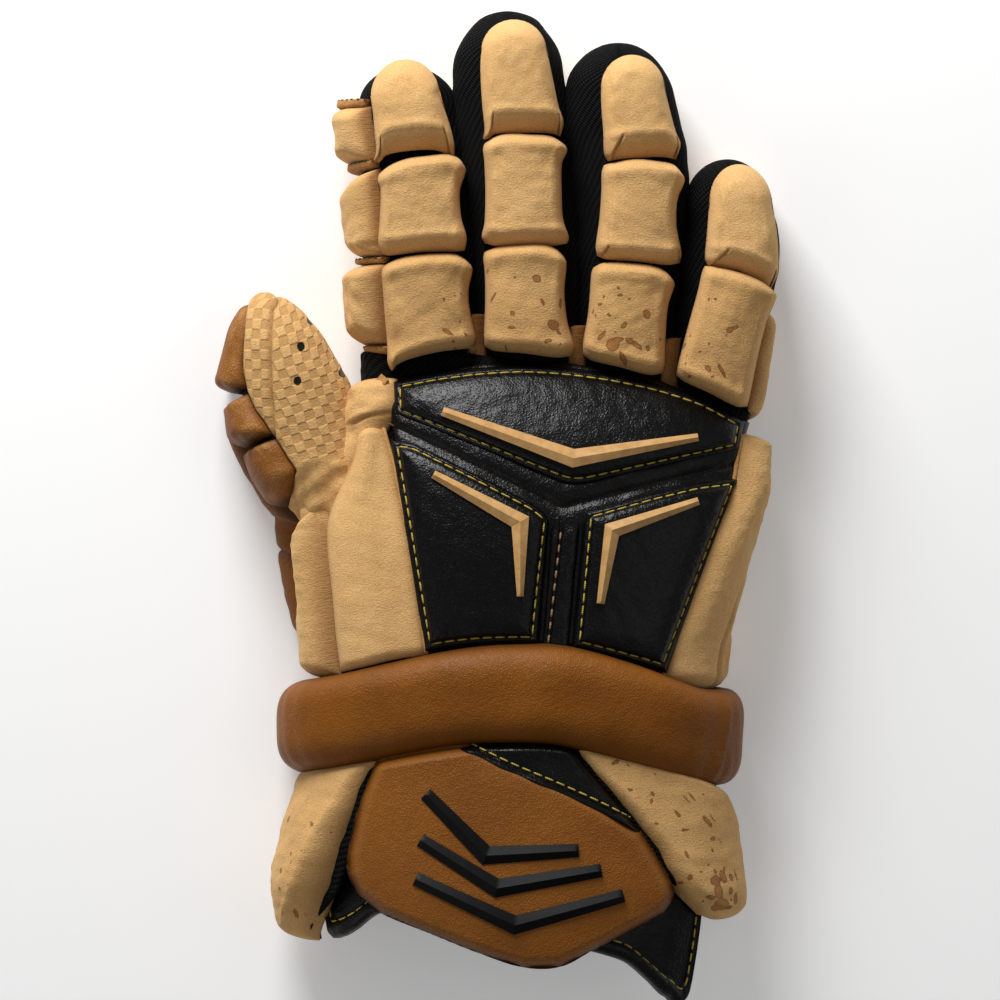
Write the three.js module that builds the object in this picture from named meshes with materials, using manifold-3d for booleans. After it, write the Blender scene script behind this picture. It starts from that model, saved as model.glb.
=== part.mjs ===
// A right-hand lacrosse glove lying palm down: a hollow hand, four fingers and a thumb, with the pads,
// back panels, rolls, wrist band and cuff sewn on over them.
// Millimetres, +X to the little finger, +Y to the fingertips, +Z up. The origin is on the flat of the palm.
import * as THREE from "three";
import { mergeVertices } from "three/addons/utils/BufferGeometryUtils.js";
import Module from "manifold-3d";

const wasm = await Module();
wasm.setup();

// Driving dimensions
const SEAM = 0.4; // space between neighbouring pieces
const SUEDE = 1.6; // palm suede
const SLEEVE_WALL = 2; // knitted mesh with its lining
const HAND_WALL = 2.4; // back of the hand with its lining
const LINER = 2; // black leather sheet under the cuff
const REST = SEAM + SUEDE; // height of the tubes' undersides, which the palm suede lies under
const FINGER_PAD = 10;
const BACK_PAD = 8;
const SIDE_ROLL = 10;
const THUMB_PAD = 8;
const BAND = 10.5;
const BAND_HALF = 15.5; // half the band's height along the wrist
const CUFF_PAD = 9;
const CUFF_FLAP = 11;
const ON_TUBE = 0.6; // pads start this far out from the tube under them
const ON_LINER = 3.4; // and what lies on the cuff's liner, this far out from the hand's tube

// The hand and cuff are one tube along Y. left and right are its widest places, top its crown.
const ROOT_SKEW = 0.16; // the fingers' roots lie on a line that falls this much to +X
const HAND = {
  rows: [
    { y: -168, left: -55, right: 67, top: 50, mid: 20, skew: 0 },
    { y: -140, left: -58, right: 70, top: 52, mid: 20, skew: 0 },
    { y: -110, left: -58, right: 70, top: 50, mid: 20, skew: 0 },
    { y: -86, left: -57, right: 69, top: 48, mid: 20, skew: 0 },
    { y: -70, left: -57, right: 70, top: 48, mid: 20, skew: 0 },
    { y: -40, left: -57, right: 72, top: 47, mid: 20, skew: 0 },
    { y: -10, left: -54, right: 77, top: 45, mid: 20, skew: 0.03 },
    { y: 20, left: -45, right: 81, top: 39, mid: 19, skew: 0.1 },
    { y: 44, left: -39, right: 85, top: 27, mid: 15, skew: ROOT_SKEW },
  ],
  depth: 21,
  crown: 2.3,
  belly: 3,
};
const HAND_FRONT = 44;
const HAND_STATIONS = [-86, -60, -35, -12, 6, 22, 34, 44];
// Where a finger with its middle at x starts
const knuckle = (x) => HAND_FRONT + SEAM - ROOT_SKEW * (x - 23);

// Each finger is a tube. x is its middle and half its half width at y. skew leans its root to the hand's.
const FINGERS = {
  index: {
    rows: [
      { y: knuckle(-23.7), x: -23.7, half: 15.2, skew: ROOT_SKEW },
      { y: 83, x: -25.4, half: 16.2, skew: 0 },
      { y: 117, x: -29.2, half: 15.8, skew: 0 },
      { y: 132, x: -31.2, half: 16.4, skew: 0 },
    ],
    tip: 146.7,
    round: 15,
  },
  middle: {
    rows: [
      { y: knuckle(9.3), x: 9.3, half: 16.3, skew: ROOT_SKEW },
      { y: 83, x: 9.3, half: 17, skew: 0 },
      { y: 118, x: 4.7, half: 17.4, skew: 0 },
      { y: 147, x: 2.6, half: 17.2, skew: 0 },
    ],
    tip: 165,
    round: 18,
  },
  ring: {
    rows: [
      { y: knuckle(41.8), x: 41.8, half: 15.2, skew: ROOT_SKEW },
      { y: 67, x: 43.4, half: 15.6, skew: 0 },
      { y: 100, x: 44.3, half: 17.6, skew: 0 },
      { y: 120, x: 42.4, half: 18, skew: 0 },
      { y: 137, x: 39.9, half: 17.4, skew: 0 },
    ],
    tip: 154.3,
    round: 17,
  },
  pinky: {
    rows: [
      { y: knuckle(70.8), x: 70.8, half: 13, skew: ROOT_SKEW },
      { y: 50, x: 72.4, half: 13.6, skew: 0.05 },
      { y: 67, x: 75.2, half: 14.4, skew: 0 },
      { y: 83, x: 77.2, half: 15, skew: 0 },
      { y: 100, x: 76.8, half: 14.2, skew: 0 },
    ],
    tip: 115,
    round: 15,
  },
};
const FINGER = { mid: 14, up: 13, depth: 13, curl: 4, crown: 2.4, belly: 2.6 };

// The thumb's tube starts inside the hand's left side.
const THUMB = {
  rows: [
    { y: -12, x: -47, half: 13, skew: 0, mid: 17, up: 12, depth: 15 },
    { y: 0, x: -56, half: 15, skew: 0, mid: 17, up: 14, depth: 16 },
    { y: 17, x: -65, half: 16.5, skew: 0, mid: 17, up: 15, depth: 16 },
    { y: 37, x: -69.5, half: 18, skew: 0, mid: 17, up: 15, depth: 16 },
    { y: 50, x: -72, half: 16, skew: 0, mid: 17, up: 14, depth: 16 },
  ],
  tip: 67,
  round: 24,
  crown: 2.2,
  belly: 2.6,
};

// Finger pads, by their low and high corners in plan. dome rounds the fingertip out, and dip the low side.
const FINGER_PADS = {
  index_tip_pad: { low: [[-40.7, 113.6], [-14.6, 116.8]], high: [[-43, 132], [-18, 132.6]], dome: 14 },
  index_mid_pad: { low: [[-40, 82], [-12.4, 83.4]], high: [[-40.7, 112.4], [-13.4, 115.4]], dome: 0 },
  index_base_pad: { low: [[-37.4, 48], [-8.4, 51.4]], high: [[-39.4, 80.6], [-11.5, 82]], dome: 0, dip: 1 },
  middle_tip_pad: { low: [[-5.6, 122.4], [20.6, 123.2]], high: [[-5.3, 150], [16, 150]], dome: 11 },
  middle_mid_pad: { low: [[-5.7, 85.8], [22.3, 86.6]], high: [[-5.3, 121.2], [22, 121.8]], dome: 0 },
  middle_base_pad: { low: [[-5, 50.4], [24.2, 47.2]], high: [[-5.3, 84.6], [21, 85.2]], dome: 0, dip: 1 },
  ring_tip_pad: { low: [[35.4, 114.6], [59, 114.4]], high: [[33.8, 138], [55, 137.6]], dome: 11.5 },
  ring_mid_pad: { low: [[32.4, 80.8], [59.8, 78.4]], high: [[34.5, 113.2], [60.8, 112]], dome: 0 },
  ring_base_pad: { low: [[27.7, 47.6], [54.4, 41.2]], high: [[31, 79.4], [57.8, 77]], dome: 0, dip: 1 },
  pinky_tip_pad: { low: [[68.8, 79.8], [91.8, 73.4]], high: [[70.8, 100], [91, 99.4]], dome: 12 },
  pinky_base_pad: { low: [[58.8, 40.6], [82.8, 29.8]], high: [[68, 78.4], [91.2, 71.8]], dome: 0, dip: 1 },
};

// Rolls on the index finger's outer side, by the stations where each starts and ends.
const INDEX_ROLLS = [
  { name: "index_side_roll_tip", near: 110.4, far: 134.6 },
  { name: "index_side_roll_mid", near: 79, far: 109.8 },
  { name: "index_side_roll_base", near: 49.4, far: 78.4 },
];

// Back panels, by the corners of their low and high sides in plan. rise bows a side out.
// The lower two panels' low sides follow the wrist band, from one x to another.
const KNUCKLE_PANEL = {
  low: [[-37, 28.6], [22.3, 5.2], [79.6, 17]],
  high: [[-37.4, 38], [81.4, 23.6]],
  rise: 10.4,
};
const LEFT_PANEL = { low: [-24.6, 16.4], high: [[-36, 18.6], [9, 3.4], [16.4, -3.6]] };
const RIGHT_PANEL = { low: [24.8, 56], high: [[27.4, -4.4], [34, -2], [79.4, 8.4]] };

// Raised bars on the panels and cuff, by their path in plan and their half width along it.
const BARS = {
  knuckle_chevron: { path: [[-19.6, 30], [22.8, 13.8], [66.6, 21]], half: [1, 2.9, 1] },
  left_chevron: { path: [[-22.6, 9.2], [6.4, -6.2], [7.2, -32.6]], half: [1.3, 2.6, 1] },
  right_chevron: { path: [[66.6, 0.2], [35.6, -8.2], [32.6, -35]], half: [1.3, 2.6, 1] },
  cuff_chevron_upper: { path: [[-24.6, -97.4], [-4.6, -117.6], [26, -116]], half: [2.2, 3, 2.2] },
  cuff_chevron_middle: { path: [[-26.4, -112.6], [-1, -128.4], [33.6, -122.6]], half: [2.2, 3, 2.2] },
  cuff_chevron_lower: { path: [[-28, -125.4], [5, -140.6], [41, -131]], half: [2.2, 3, 2.2] },
};
const BAR_HEIGHT = 1.4;

const deg = THREE.MathUtils.degToRad;
const lerp = THREE.MathUtils.lerp;

// Smooth values between the rows of a table, by a cubic through neighbouring rows.
function between(rows, y, key) {
  let k = rows.findIndex((r) => r.y > y) - 1;
  if (k === -2) k = rows.length - 2;
  if (k < 0) k = 0;
  const [a, b] = [rows[k], rows[k + 1]];
  const t = THREE.MathUtils.clamp((y - a.y) / (b.y - a.y), 0, 1);
  const before = rows[k - 1] ?? a;
  const after = rows[k + 2] ?? b;
  const span = b.y - a.y;
  const slopeA = ((b[key] - before[key]) / (b.y - before.y)) * span;
  const slopeB = ((after[key] - a[key]) / (after.y - a.y)) * span;
  const t2 = t * t;
  const t3 = t2 * t;
  return (
    a[key] * (2 * t3 - 3 * t2 + 1) +
    slopeA * (t3 - 2 * t2 + t) +
    b[key] * (3 * t2 - 2 * t3) +
    slopeB * (t3 - t2)
  );
}

// A tube whose sections are superellipses, flattened where they come down to the floor.
class Tube {
  constructor({ rows, tip, round, crown, belly }) {
    Object.assign(this, { rows, tip, round, crown, belly });
  }

  // The section at y, grown by lift. It shrinks to nothing over the rounded tip.
  section(y, lift) {
    const get = (key) => between(this.rows, y, key);
    let scale = 1;
    if (this.tip !== undefined) {
      const past = (y - (this.tip - this.round)) / (this.round + lift);
      scale = Math.sqrt(Math.max(1 - Math.max(past, 0) ** 2, 0));
    }
    return {
      x: get("x"),
      mid: get("mid"),
      skew: get("skew"),
      half: (get("half") + lift) * scale,
      up: (get("up") + lift) * scale,
      down: (get("depth") + lift) * scale,
    };
  }

  // The point at y and at an angle from the crown, positive to +X, lift out from the tube's surface.
  point(y, angle, lift) {
    const s = this.section(y, lift);
    const [sin, cos] = [Math.sin(angle), Math.cos(angle)];
    const power = 2 / (cos > 0 ? this.crown : this.belly);
    const across = s.half * Math.sign(sin) * Math.abs(sin) ** power;
    const reach = cos > 0 ? s.up : s.down;
    const rise = reach * Math.sign(cos) * Math.abs(cos) ** power;
    const floor = Math.max(REST - lift, 0);
    return new THREE.Vector3(s.x + across, y - s.skew * across, Math.max(s.mid + rise, floor));
  }

  // The station and angle whose point, lifted, has this place in plan.
  locate([x, y], lift) {
    let station = y;
    for (let k = 0; k < 4; k += 1) {
      const s = this.section(station, lift);
      station = y + s.skew * (x - s.x);
    }
    const s = this.section(station, lift);
    const share = THREE.MathUtils.clamp((x - s.x) / s.half, -0.995, 0.995);
    const angle = Math.asin(Math.sign(share) * Math.abs(share) ** (this.crown / 2));
    return { station, angle };
  }
}

const hand = new Tube({
  ...HAND,
  rows: HAND.rows.map((r) => ({
    ...r,
    x: (r.left + r.right) / 2,
    half: (r.right - r.left) / 2,
    up: r.top - r.mid,
    depth: HAND.depth,
  })),
});
const fingers = Object.fromEntries(
  Object.entries(FINGERS).map(([name, f]) => {
    const root = f.rows[0].y;
    const rows = [...f.rows, { ...f.rows.at(-1), y: f.tip }].map((r) => ({
      ...r,
      mid: FINGER.mid + FINGER.curl * Math.sin((Math.PI * (r.y - root)) / (f.tip - root)),
      up: FINGER.up,
      depth: FINGER.depth,
    }));
    return [name, new Tube({ ...f, ...FINGER, rows })];
  }),
);
const thumb = new Tube({ ...THUMB, rows: [...THUMB.rows, { ...THUMB.rows.at(-1), y: THUMB.tip }] });

// Closes a list of vertices and triangles into a geometry that faces out.
function geometryOf(points, triangles) {
  let volume = 0;
  for (const [a, b, c] of triangles) {
    volume += points[a].dot(new THREE.Vector3().crossVectors(points[b], points[c]));
  }
  const index = volume > 0 ? triangles.flat() : triangles.flatMap(([a, b, c]) => [a, c, b]);
  const geometry = new THREE.BufferGeometry().setFromPoints(points);
  return geometry.setIndex(index);
}

// A skin through rings of points. Joined in a loop it is a hollow tube, and otherwise its ends close.
function skin(rings, loop) {
  const sides = rings[0].length;
  const points = rings.flat();
  const triangles = [];
  const bands = loop ? rings.length : rings.length - 1;
  for (let r = 0; r < bands; r += 1) {
    const [low, high] = [r * sides, ((r + 1) % rings.length) * sides];
    for (let i = 0; i < sides; i += 1) {
      const j = (i + 1) % sides;
      triangles.push([low + i, low + j, high + j], [low + i, high + j, high + i]);
    }
  }
  if (!loop) {
    for (const [first, turn] of [[0, 1], [(rings.length - 1) * sides, 0]]) {
      const ring = points.slice(first, first + sides);
      const middle = ring.reduce((sum, p) => sum.add(p), new THREE.Vector3()).divideScalar(sides);
      points.push(middle);
      for (let i = 0; i < sides; i += 1) {
        const [a, b] = [first + i, first + ((i + 1) % sides)];
        triangles.push(turn ? [points.length - 1, b, a] : [points.length - 1, a, b]);
      }
    }
  }
  return geometryOf(points, triangles);
}

// A closed layer between two surfaces, each given for p across and q along, from 0 to 1.
function layer(columns, rows, under, over, spread = rounded) {
  const points = [];
  for (const face of [under, over]) {
    for (let j = 0; j <= rows; j += 1) {
      for (let i = 0; i <= columns; i += 1) {
        points.push(face(spread(i / columns), spread(j / rows)));
      }
    }
  }
  const at = (i, j, face) => (face * (rows + 1) + j) * (columns + 1) + i;
  const triangles = [];
  const quad = (a, b, c, d) => triangles.push([a, b, c], [a, c, d]);
  for (let j = 0; j < rows; j += 1) {
    for (let i = 0; i < columns; i += 1) {
      quad(at(i, j, 1), at(i + 1, j, 1), at(i + 1, j + 1, 1), at(i, j + 1, 1));
      quad(at(i, j, 0), at(i, j + 1, 0), at(i + 1, j + 1, 0), at(i + 1, j, 0));
    }
    quad(at(0, j, 0), at(0, j, 1), at(0, j + 1, 1), at(0, j + 1, 0));
    quad(at(columns, j, 0), at(columns, j + 1, 0), at(columns, j + 1, 1), at(columns, j, 1));
  }
  for (let i = 0; i < columns; i += 1) {
    quad(at(i, 0, 0), at(i + 1, 0, 0), at(i + 1, 0, 1), at(i, 0, 1));
    quad(at(i, rows, 0), at(i, rows, 1), at(i + 1, rows, 1), at(i + 1, rows, 0));
  }
  return geometryOf(points, triangles);
}
const even = (t) => t;
const rounded = (t) => 0.5 - 0.5 * Math.cos(Math.PI * t);

// How full a soft pad is at p, q: nothing at its edges, and 1 over its middle. A higher power is boxier.
const RIM = 0.14;
function puff(p, q, power) {
  const side = (t) => (1 - Math.abs(2 * t - 1) ** power) ** (1 / power);
  return RIM + (1 - RIM) * side(p) * side(q);
}

// A side of a plan outline: straight, turned at a kink, or bowed out by a rise.
function side(points, rise = 0) {
  return (t) => {
    const spans = points.length - 1;
    const k = Math.min(Math.floor(t * spans), spans - 1);
    const f = t * spans - k;
    const bow = rise * 4 * t * (1 - t);
    return [lerp(points[k][0], points[k + 1][0], f), lerp(points[k][1], points[k + 1][1], f) + bow];
  };
}

// Fills a plan outline between its low and high sides, pinched at the waist or domed at the top.
function plan(low, high, waist = 0) {
  return (p, q) => {
    const [a, b] = [low(p), high(p)];
    const pinch = waist * 4 * q * (1 - q) * (1 - 2 * p);
    return [lerp(a[0], b[0], q) + pinch, lerp(a[1], b[1], q)];
  };
}

// A pad on a tube's top that fills a plan outline, from base to base + thick above the tube.
function padOn(tube, outline, { base = ON_TUBE, thick, power = 3, columns = 6, rows = 6 }) {
  const face = (lift) => (p, q) => {
    const { station, angle } = tube.locate(outline(p, q), base + thick * 0.6);
    return tube.point(station, angle, lift(p, q));
  };
  return layer(columns, rows, face(() => base), face((p, q) => base + thick * puff(p, q, power)));
}

// The value of an evenly spaced list at t, from 0 to 1.
function listAt(values, t) {
  const k = Math.min(Math.floor(t * (values.length - 1)), values.length - 2);
  return lerp(values[k], values[k + 1], t * (values.length - 1) - k);
}

// A roll along a tube's side. Its near and far ends are listed across it, and its two side angles along it.
function rollOn(tube, { near, far, from, to, thick, base = ON_TUBE, power = 2.2, columns = 6, rows = 7 }) {
  const face = (lift) => (p, q) => {
    const y = lerp(listAt(near, p), listAt(far, p), q);
    return tube.point(y, deg(lerp(listAt(from, q), listAt(to, q), p)), lift(p, q));
  };
  return layer(columns, rows, face(() => base), face((p, q) => base + thick * puff(p, q, power)));
}
const both = (value) => [value, value];

// The tube between two stations, as rings of points around it.
function rings(tube, stations, sides, lift) {
  return stations.map((y) =>
    Array.from({ length: sides }, (_, i) => tube.point(y, (2 * Math.PI * (i + 0.5)) / sides, lift)),
  );
}

// A sheet round part of a tube, from one of its sides to another, with the tube's own stations and sides.
function sheetOn(tube, stations, sides, first, last) {
  const face = (lift) => (p, q) => {
    const y = stations[Math.round(q * (stations.length - 1))];
    return tube.point(y, (2 * Math.PI * (lerp(first, last, p) + 0.5)) / sides, lift);
  };
  return layer(last - first, stations.length - 1, face(SEAM), face(SEAM + SUEDE), even);
}

// Stations from a root to a tip, closer together round the tip. The last one stops just short of it.
function stationsTo(tube, root, straight, domed, lift) {
  const start = tube.tip - tube.round;
  const along = Array.from({ length: straight }, (_, i) => lerp(root, start, i / straight));
  const over = Array.from(
    { length: domed },
    (_, i) => start + (tube.round + lift) * Math.sin((deg(80) * i) / (domed - 1)),
  );
  return [...along, ...over];
}

const SIDES = 16;
function sleeve(tube, root) {
  const outer = rings(tube, stationsTo(tube, root, 3, 4, 0), SIDES, 0);
  const inner = rings(tube, stationsTo(tube, root, 3, 4, -SLEEVE_WALL), SIDES, -SLEEVE_WALL);
  return skin([...inner.reverse(), ...outer], false);
}

// Manifold solids, for the pieces that are cut by a neighbour.
function solid(geometry) {
  const bare = new THREE.BufferGeometry().setAttribute("position", geometry.getAttribute("position"));
  bare.setIndex(geometry.getIndex());
  const merged = mergeVertices(bare, 1e-3);
  return new wasm.Manifold(
    new wasm.Mesh({
      numProp: 3,
      vertProperties: merged.attributes.position.array,
      triVerts: new Uint32Array(merged.index.array),
    }),
  );
}
function meshOf(body) {
  const cut = body.getMesh();
  const geometry = new THREE.BufferGeometry();
  const position = new Float32Array(cut.numVert * 3);
  for (let i = 0; i < cut.numVert; i += 1) {
    position.set(cut.vertProperties.subarray(i * cut.numProp, i * cut.numProp + 3), i * 3);
  }
  geometry.setAttribute("position", new THREE.BufferAttribute(position, 3));
  return geometry.setIndex(new THREE.BufferAttribute(cut.triVerts, 1));
}
// Only the largest piece that a cut leaves is kept.
const largest = (body) => body.decompose().reduce((a, b) => (b.volume() > a.volume() ? b : a));
const without = (geometry, ...tools) =>
  meshOf(largest(tools.reduce((body, tool) => body.subtract(tool), solid(geometry))));

// The solid that a tube's outside fills, for cutting what lies against it.
const filled = (tube, stations, lift, sides = SIDES) =>
  solid(skin(rings(tube, stations, sides, lift), false));
const thumbStations = (lift) => stationsTo(thumb, THUMB.rows[0].y, 4, 4, lift);
const thumbBody = (lift) => filled(thumb, thumbStations(0), lift);
const HAND_SIDES = 24;
const handBody = (lift) => filled(hand, HAND_STATIONS, lift, HAND_SIDES);

const material = (color, roughness) => new THREE.MeshStandardMaterial({ color, roughness, metalness: 0 });
const suede = material(0xd9b078, 0.95);
const darkSuede = material(0xc79f68, 0.95);
const mesh = material(0x141414, 0.9);
const blackLeather = material(0x101010, 0.45);
const brownLeather = material(0x8a5320, 0.5);
const moulded = material(0xc79b62, 0.4);

const glove = new THREE.Group();
function add(name, geometry, finish) {
  const piece = new THREE.Mesh(geometry, finish);
  piece.name = name;
  glove.add(piece);
}

function addHand() {
  const outer = rings(hand, HAND_STATIONS, HAND_SIDES, 0);
  const inner = rings(hand, HAND_STATIONS, HAND_SIDES, -HAND_WALL);
  const way = filled(thumb, thumbStations(-SLEEVE_WALL), -SLEEVE_WALL);
  add("hand_shell", without(skin([...inner.reverse(), ...outer], true), way), mesh);
  const palm = sheetOn(hand, HAND_STATIONS, HAND_SIDES, 8, 15);
  add("palm", without(palm, thumbBody(SEAM + SUEDE + SEAM)), suede);
}

function addFingers() {
  for (const [name, tube] of Object.entries(fingers)) {
    const root = FINGERS[name].rows[0].y;
    add(`${name}_sleeve`, sleeve(tube, root), mesh);
    const under = stationsTo(tube, root, 3, 4, 0).slice(0, -1);
    add(`${name}_palm`, sheetOn(tube, under, SIDES, 5, 10), suede);
  }
}

// The pad's plan: its corners, a dome beyond its top side, and sides that draw in between the corners.
function padPlan({ low, high, dome, dip = 0 }) {
  const top = side(high);
  const domed = (t) => {
    const [x, y] = top(t);
    return [x, y + dome * Math.sqrt(Math.max(1 - (2 * t - 1) ** 2, 0))];
  };
  return plan(side(low, -dip), dome ? domed : top, 0.7);
}

function addFingerPads() {
  for (const [name, pad] of Object.entries(FINGER_PADS)) {
    const [finger] = name.split("_");
    const density = pad.dome ? { rows: 8, base: 1.2 } : { rows: 5 };
    const options = { thick: FINGER_PAD, power: 3.2, columns: 5, ...density };
    add(name, padOn(fingers[finger], padPlan(pad), options), suede);
  }
  for (const { name, near, far } of INDEX_ROLLS) {
    const ends = { near: both(near), far: both(far), from: both(-108), to: both(-62) };
    add(name, rollOn(fingers.index, { ...ends, thick: SIDE_ROLL, columns: 5, rows: 5 }), suede);
  }
  const edge = { near: [31, 28], far: both(63), from: [66, 70], to: [112, 112], thick: 5 };
  const roll = rollOn(fingers.pinky, { ...edge, columns: 5, rows: 5 });
  add("pinky_side_roll", without(roll, handBody(SEAM)), suede);
}

// The band's middle at an angle round the wrist: nearest the fingers over the back of the hand.
function bandMiddle(angle) {
  const back = Math.max(Math.cos(deg(angle * 0.9)), 0);
  return lerp(angle < 0 ? -76.5 : -79.5, -64.3, back);
}

// The plan outline's low side where a pad comes down to the band's front edge.
function alongBand([from, to]) {
  return (t) => {
    const x = lerp(from, to, t);
    const { angle } = hand.locate([x, -60], BAND);
    return [x, bandMiddle(THREE.MathUtils.radToDeg(angle)) + BAND_HALF + 0.8];
  };
}

function addBackPanels() {
  const options = { thick: BACK_PAD, power: 6 };
  const knuckles = plan(side(KNUCKLE_PANEL.low), side(KNUCKLE_PANEL.high, KNUCKLE_PANEL.rise));
  add("knuckle_panel", padOn(hand, knuckles, { ...options, columns: 10, rows: 4 }), blackLeather);
  const left = plan(alongBand(LEFT_PANEL.low), side(LEFT_PANEL.high));
  add("left_back_panel", padOn(hand, left, { ...options, columns: 6, rows: 7 }), blackLeather);
  const right = plan(alongBand(RIGHT_PANEL.low), side(RIGHT_PANEL.high));
  add("right_back_panel", padOn(hand, right, { ...options, columns: 6, rows: 7 }), blackLeather);
  const channel = plan(alongBand([18.2, 23.2]), side([[18, -5.4], [26, -6]]));
  add("centre_channel", padOn(hand, channel, { thick: 3, columns: 3, rows: 4 }), blackLeather);
}

// Bars lie on the tops of the pads under them.
function addBars() {
  for (const [name, { path, half }] of Object.entries(BARS)) {
    const onCuff = name.startsWith("cuff");
    const base = SEAM + (onCuff ? ON_LINER + CUFF_PAD : ON_TUBE + BACK_PAD);
    const [start, turn, end] = path.map(([x, y]) => new THREE.Vector2(x, y));
    const first = turn.clone().sub(start).normalize();
    const second = end.clone().sub(turn).normalize();
    const normals = [first, first.clone().add(second).normalize(), second].map(
      (d) => new THREE.Vector2(-d.y, d.x),
    );
    const mitre = 1 / normals[1].dot(new THREE.Vector2(-first.y, first.x));
    const place = (p, q) => {
      const k = q < 0.5 ? 0 : 1;
      const f = q * 2 - k;
      const ends = [start, turn, end].map((point, i) => {
        const wide = half[i] * (i === 1 ? mitre : 1) * (2 * p - 1);
        return point.clone().addScaledVector(normals[i], wide);
      });
      const at = ends[k].lerp(ends[k + 1], f);
      return [at.x, at.y];
    };
    const face = (lift) => (p, q) => {
      const { station, angle } = hand.locate(place(p, q), base);
      return hand.point(station, angle, base + lift(p));
    };
    const ridge = (p) => BAR_HEIGHT * (0.35 + 0.65 * (1 - Math.abs(2 * p - 1)));
    add(name, layer(2, 8, face(() => 0), face(ridge), even), onCuff ? blackLeather : moulded);
  }
}

// The side rolls end at the band. Their angles are found from places in plan where they show from above.
const angleOf = (x, y, lift) => THREE.MathUtils.radToDeg(hand.locate([x, y], lift).angle);
function sideRoll({ from, to, far, ...rest }) {
  const edge = (angle) => bandMiddle(angle) + BAND_HALF + 0.8;
  return rollOn(hand, { from, to, far, near: [edge(from[0]), edge(to[0])], ...rest });
}

function addSideRolls() {
  const clear = thumbBody(SEAM + SUEDE + SEAM);
  const inner = {
    from: [-66, -72, -73],
    to: [angleOf(-26.4, -50, 5), angleOf(-31, -12, 5), angleOf(-39, 22, 5)],
    far: [20.6, 24],
  };
  const wide = sideRoll({ ...inner, thick: 9, power: 4, columns: 6, rows: 7 });
  add("thumb_side_pad", without(wide, clear), suede);
  const outer = { from: [-96, -94], to: [-68, -74.5], far: [-14, -7], thick: 11.5, columns: 6, rows: 6 };
  add("thumb_side_roll", without(sideRoll(outer), clear), suede);
  const right = { from: [angleOf(57.6, -54, 5), 66], to: [94, 94], far: [21, 20], thick: 9.5, power: 3 };
  add("pinky_side_pad", sideRoll({ ...right, columns: 6, rows: 7 }), suede);
  const low = { from: both(96), to: both(118), far: both(-30), thick: 8, columns: 5, rows: 5 };
  add("pinky_low_roll", sideRoll(low), darkSuede);
  const web = { near: both(-5), far: both(39.6), from: [-98, -106], to: [-79, -79, -78, -76, -61, -58] };
  const gusset = rollOn(hand, { ...web, thick: 9, columns: 5, rows: 8 });
  add("thumb_web_roll", without(gusset, clear, handBody(SEAM)), darkSuede);
}

function addThumb() {
  const outer = rings(thumb, thumbStations(0), SIDES, 0);
  const inner = rings(thumb, thumbStations(-SLEEVE_WALL), SIDES, -SLEEVE_WALL);
  const keep = handBody(SEAM);
  add("thumb_sleeve", without(skin([...inner.reverse(), ...outer], false), keep), mesh);
  const face = sheetOn(thumb, thumbStations(0).slice(0, -1), SIDES, -2, 8);
  add("thumb_palm", without(face, handBody(SEAM + SUEDE + SEAM)), suede);
  const joints = [
    { name: "thumb_tip_pad", near: [31, 38], far: both(63), from: both(-146), to: both(-36) },
    { name: "thumb_mid_pad", near: [13, 20], far: [30, 37], from: both(-144), to: both(-36) },
    { name: "thumb_base_pad", near: [-6, 0], far: [12, 19], from: both(-140), to: both(-36) },
  ];
  for (const { name, ...row } of joints) {
    const roll = rollOn(thumb, { ...row, thick: THUMB_PAD, power: 3, columns: 7, rows: 5 });
    add(name, without(roll, keep), brownLeather);
  }
  const heel = { near: both(-48), far: both(-9), from: both(-122), to: both(-98), thick: 14, power: 2.6 };
  const block = thumbBody(ON_TUBE + THUMB_PAD);
  add("thumb_heel_pad", without(rollOn(hand, { ...heel, rows: 5 }), block), brownLeather);
}

// The band wraps the wrist from one side of the palm to the other.
function addBand() {
  const face = (lift) => (p, q) => {
    const angle = lerp(-130, 130, p);
    return hand.point(bandMiddle(angle) + BAND_HALF * (2 * q - 1), deg(angle), lift(q, angle));
  };
  const bulge = (angle) => (angle < 0 ? 4.5 : 0.8) * Math.sin(deg(Math.min(Math.abs(angle), 90))) ** 4;
  const over = face((q, angle) => {
    const full = (1 - Math.abs(2 * q - 1) ** 3) ** (1 / 3);
    return ON_LINER + (BAND + bulge(angle)) * (0.3 + 0.7 * full);
  });
  const under = face(() => ON_LINER);
  add("wrist_band", layer(26, 5, under, over, even), brownLeather);
}

function addCuff() {
  const end = [-142, -145, -141, -139, -142, -156, -166, -162];
  const liner = (lift) => (p, q) =>
    hand.point(lerp(listAt(end, p), -70, q), deg(lerp(-100, 100, p)), lift);
  add("cuff_liner", layer(20, 4, liner(SEAM), liner(SEAM + LINER), even), blackLeather);
  const pad = plan(
    side([[-50.4, -128], [20, -156.6], [58.6, -134]]),
    side([[-37.6, -88], [-9, -82], [36.6, -103]]),
  );
  const raised = { base: ON_LINER, thick: CUFF_PAD, power: 6, columns: 8, rows: 6 };
  add("cuff_pad", padOn(hand, pad, raised), brownLeather);
  const flap = { base: ON_LINER, thick: CUFF_FLAP, power: 2.8, columns: 6, rows: 6 };
  const inner = angleOf(-39.6, -92, 8);
  const left = { near: [-146, -149], far: [-94, -91], from: [-92, -106], to: [-73, inner] };
  add("cuff_flap_left", rollOn(hand, { ...flap, ...left }), suede);
  const right = { near: [-137, -141], far: [-84, -97], from: [49, 13], to: [100, 104] };
  add("cuff_flap_right", rollOn(hand, { ...flap, ...right, columns: 8 }), suede);
}

addHand();
addFingers();
addFingerPads();
addBackPanels();
addBars();
addSideRolls();
addThumb();
addBand();
addCuff();

export default glove;
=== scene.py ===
"""The looks of a right-hand lacrosse glove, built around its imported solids.

Lengths are millimetres until a mesh is made. +X is to the little finger, +Y to the fingertips and +Z up.
"""

import math

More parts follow.
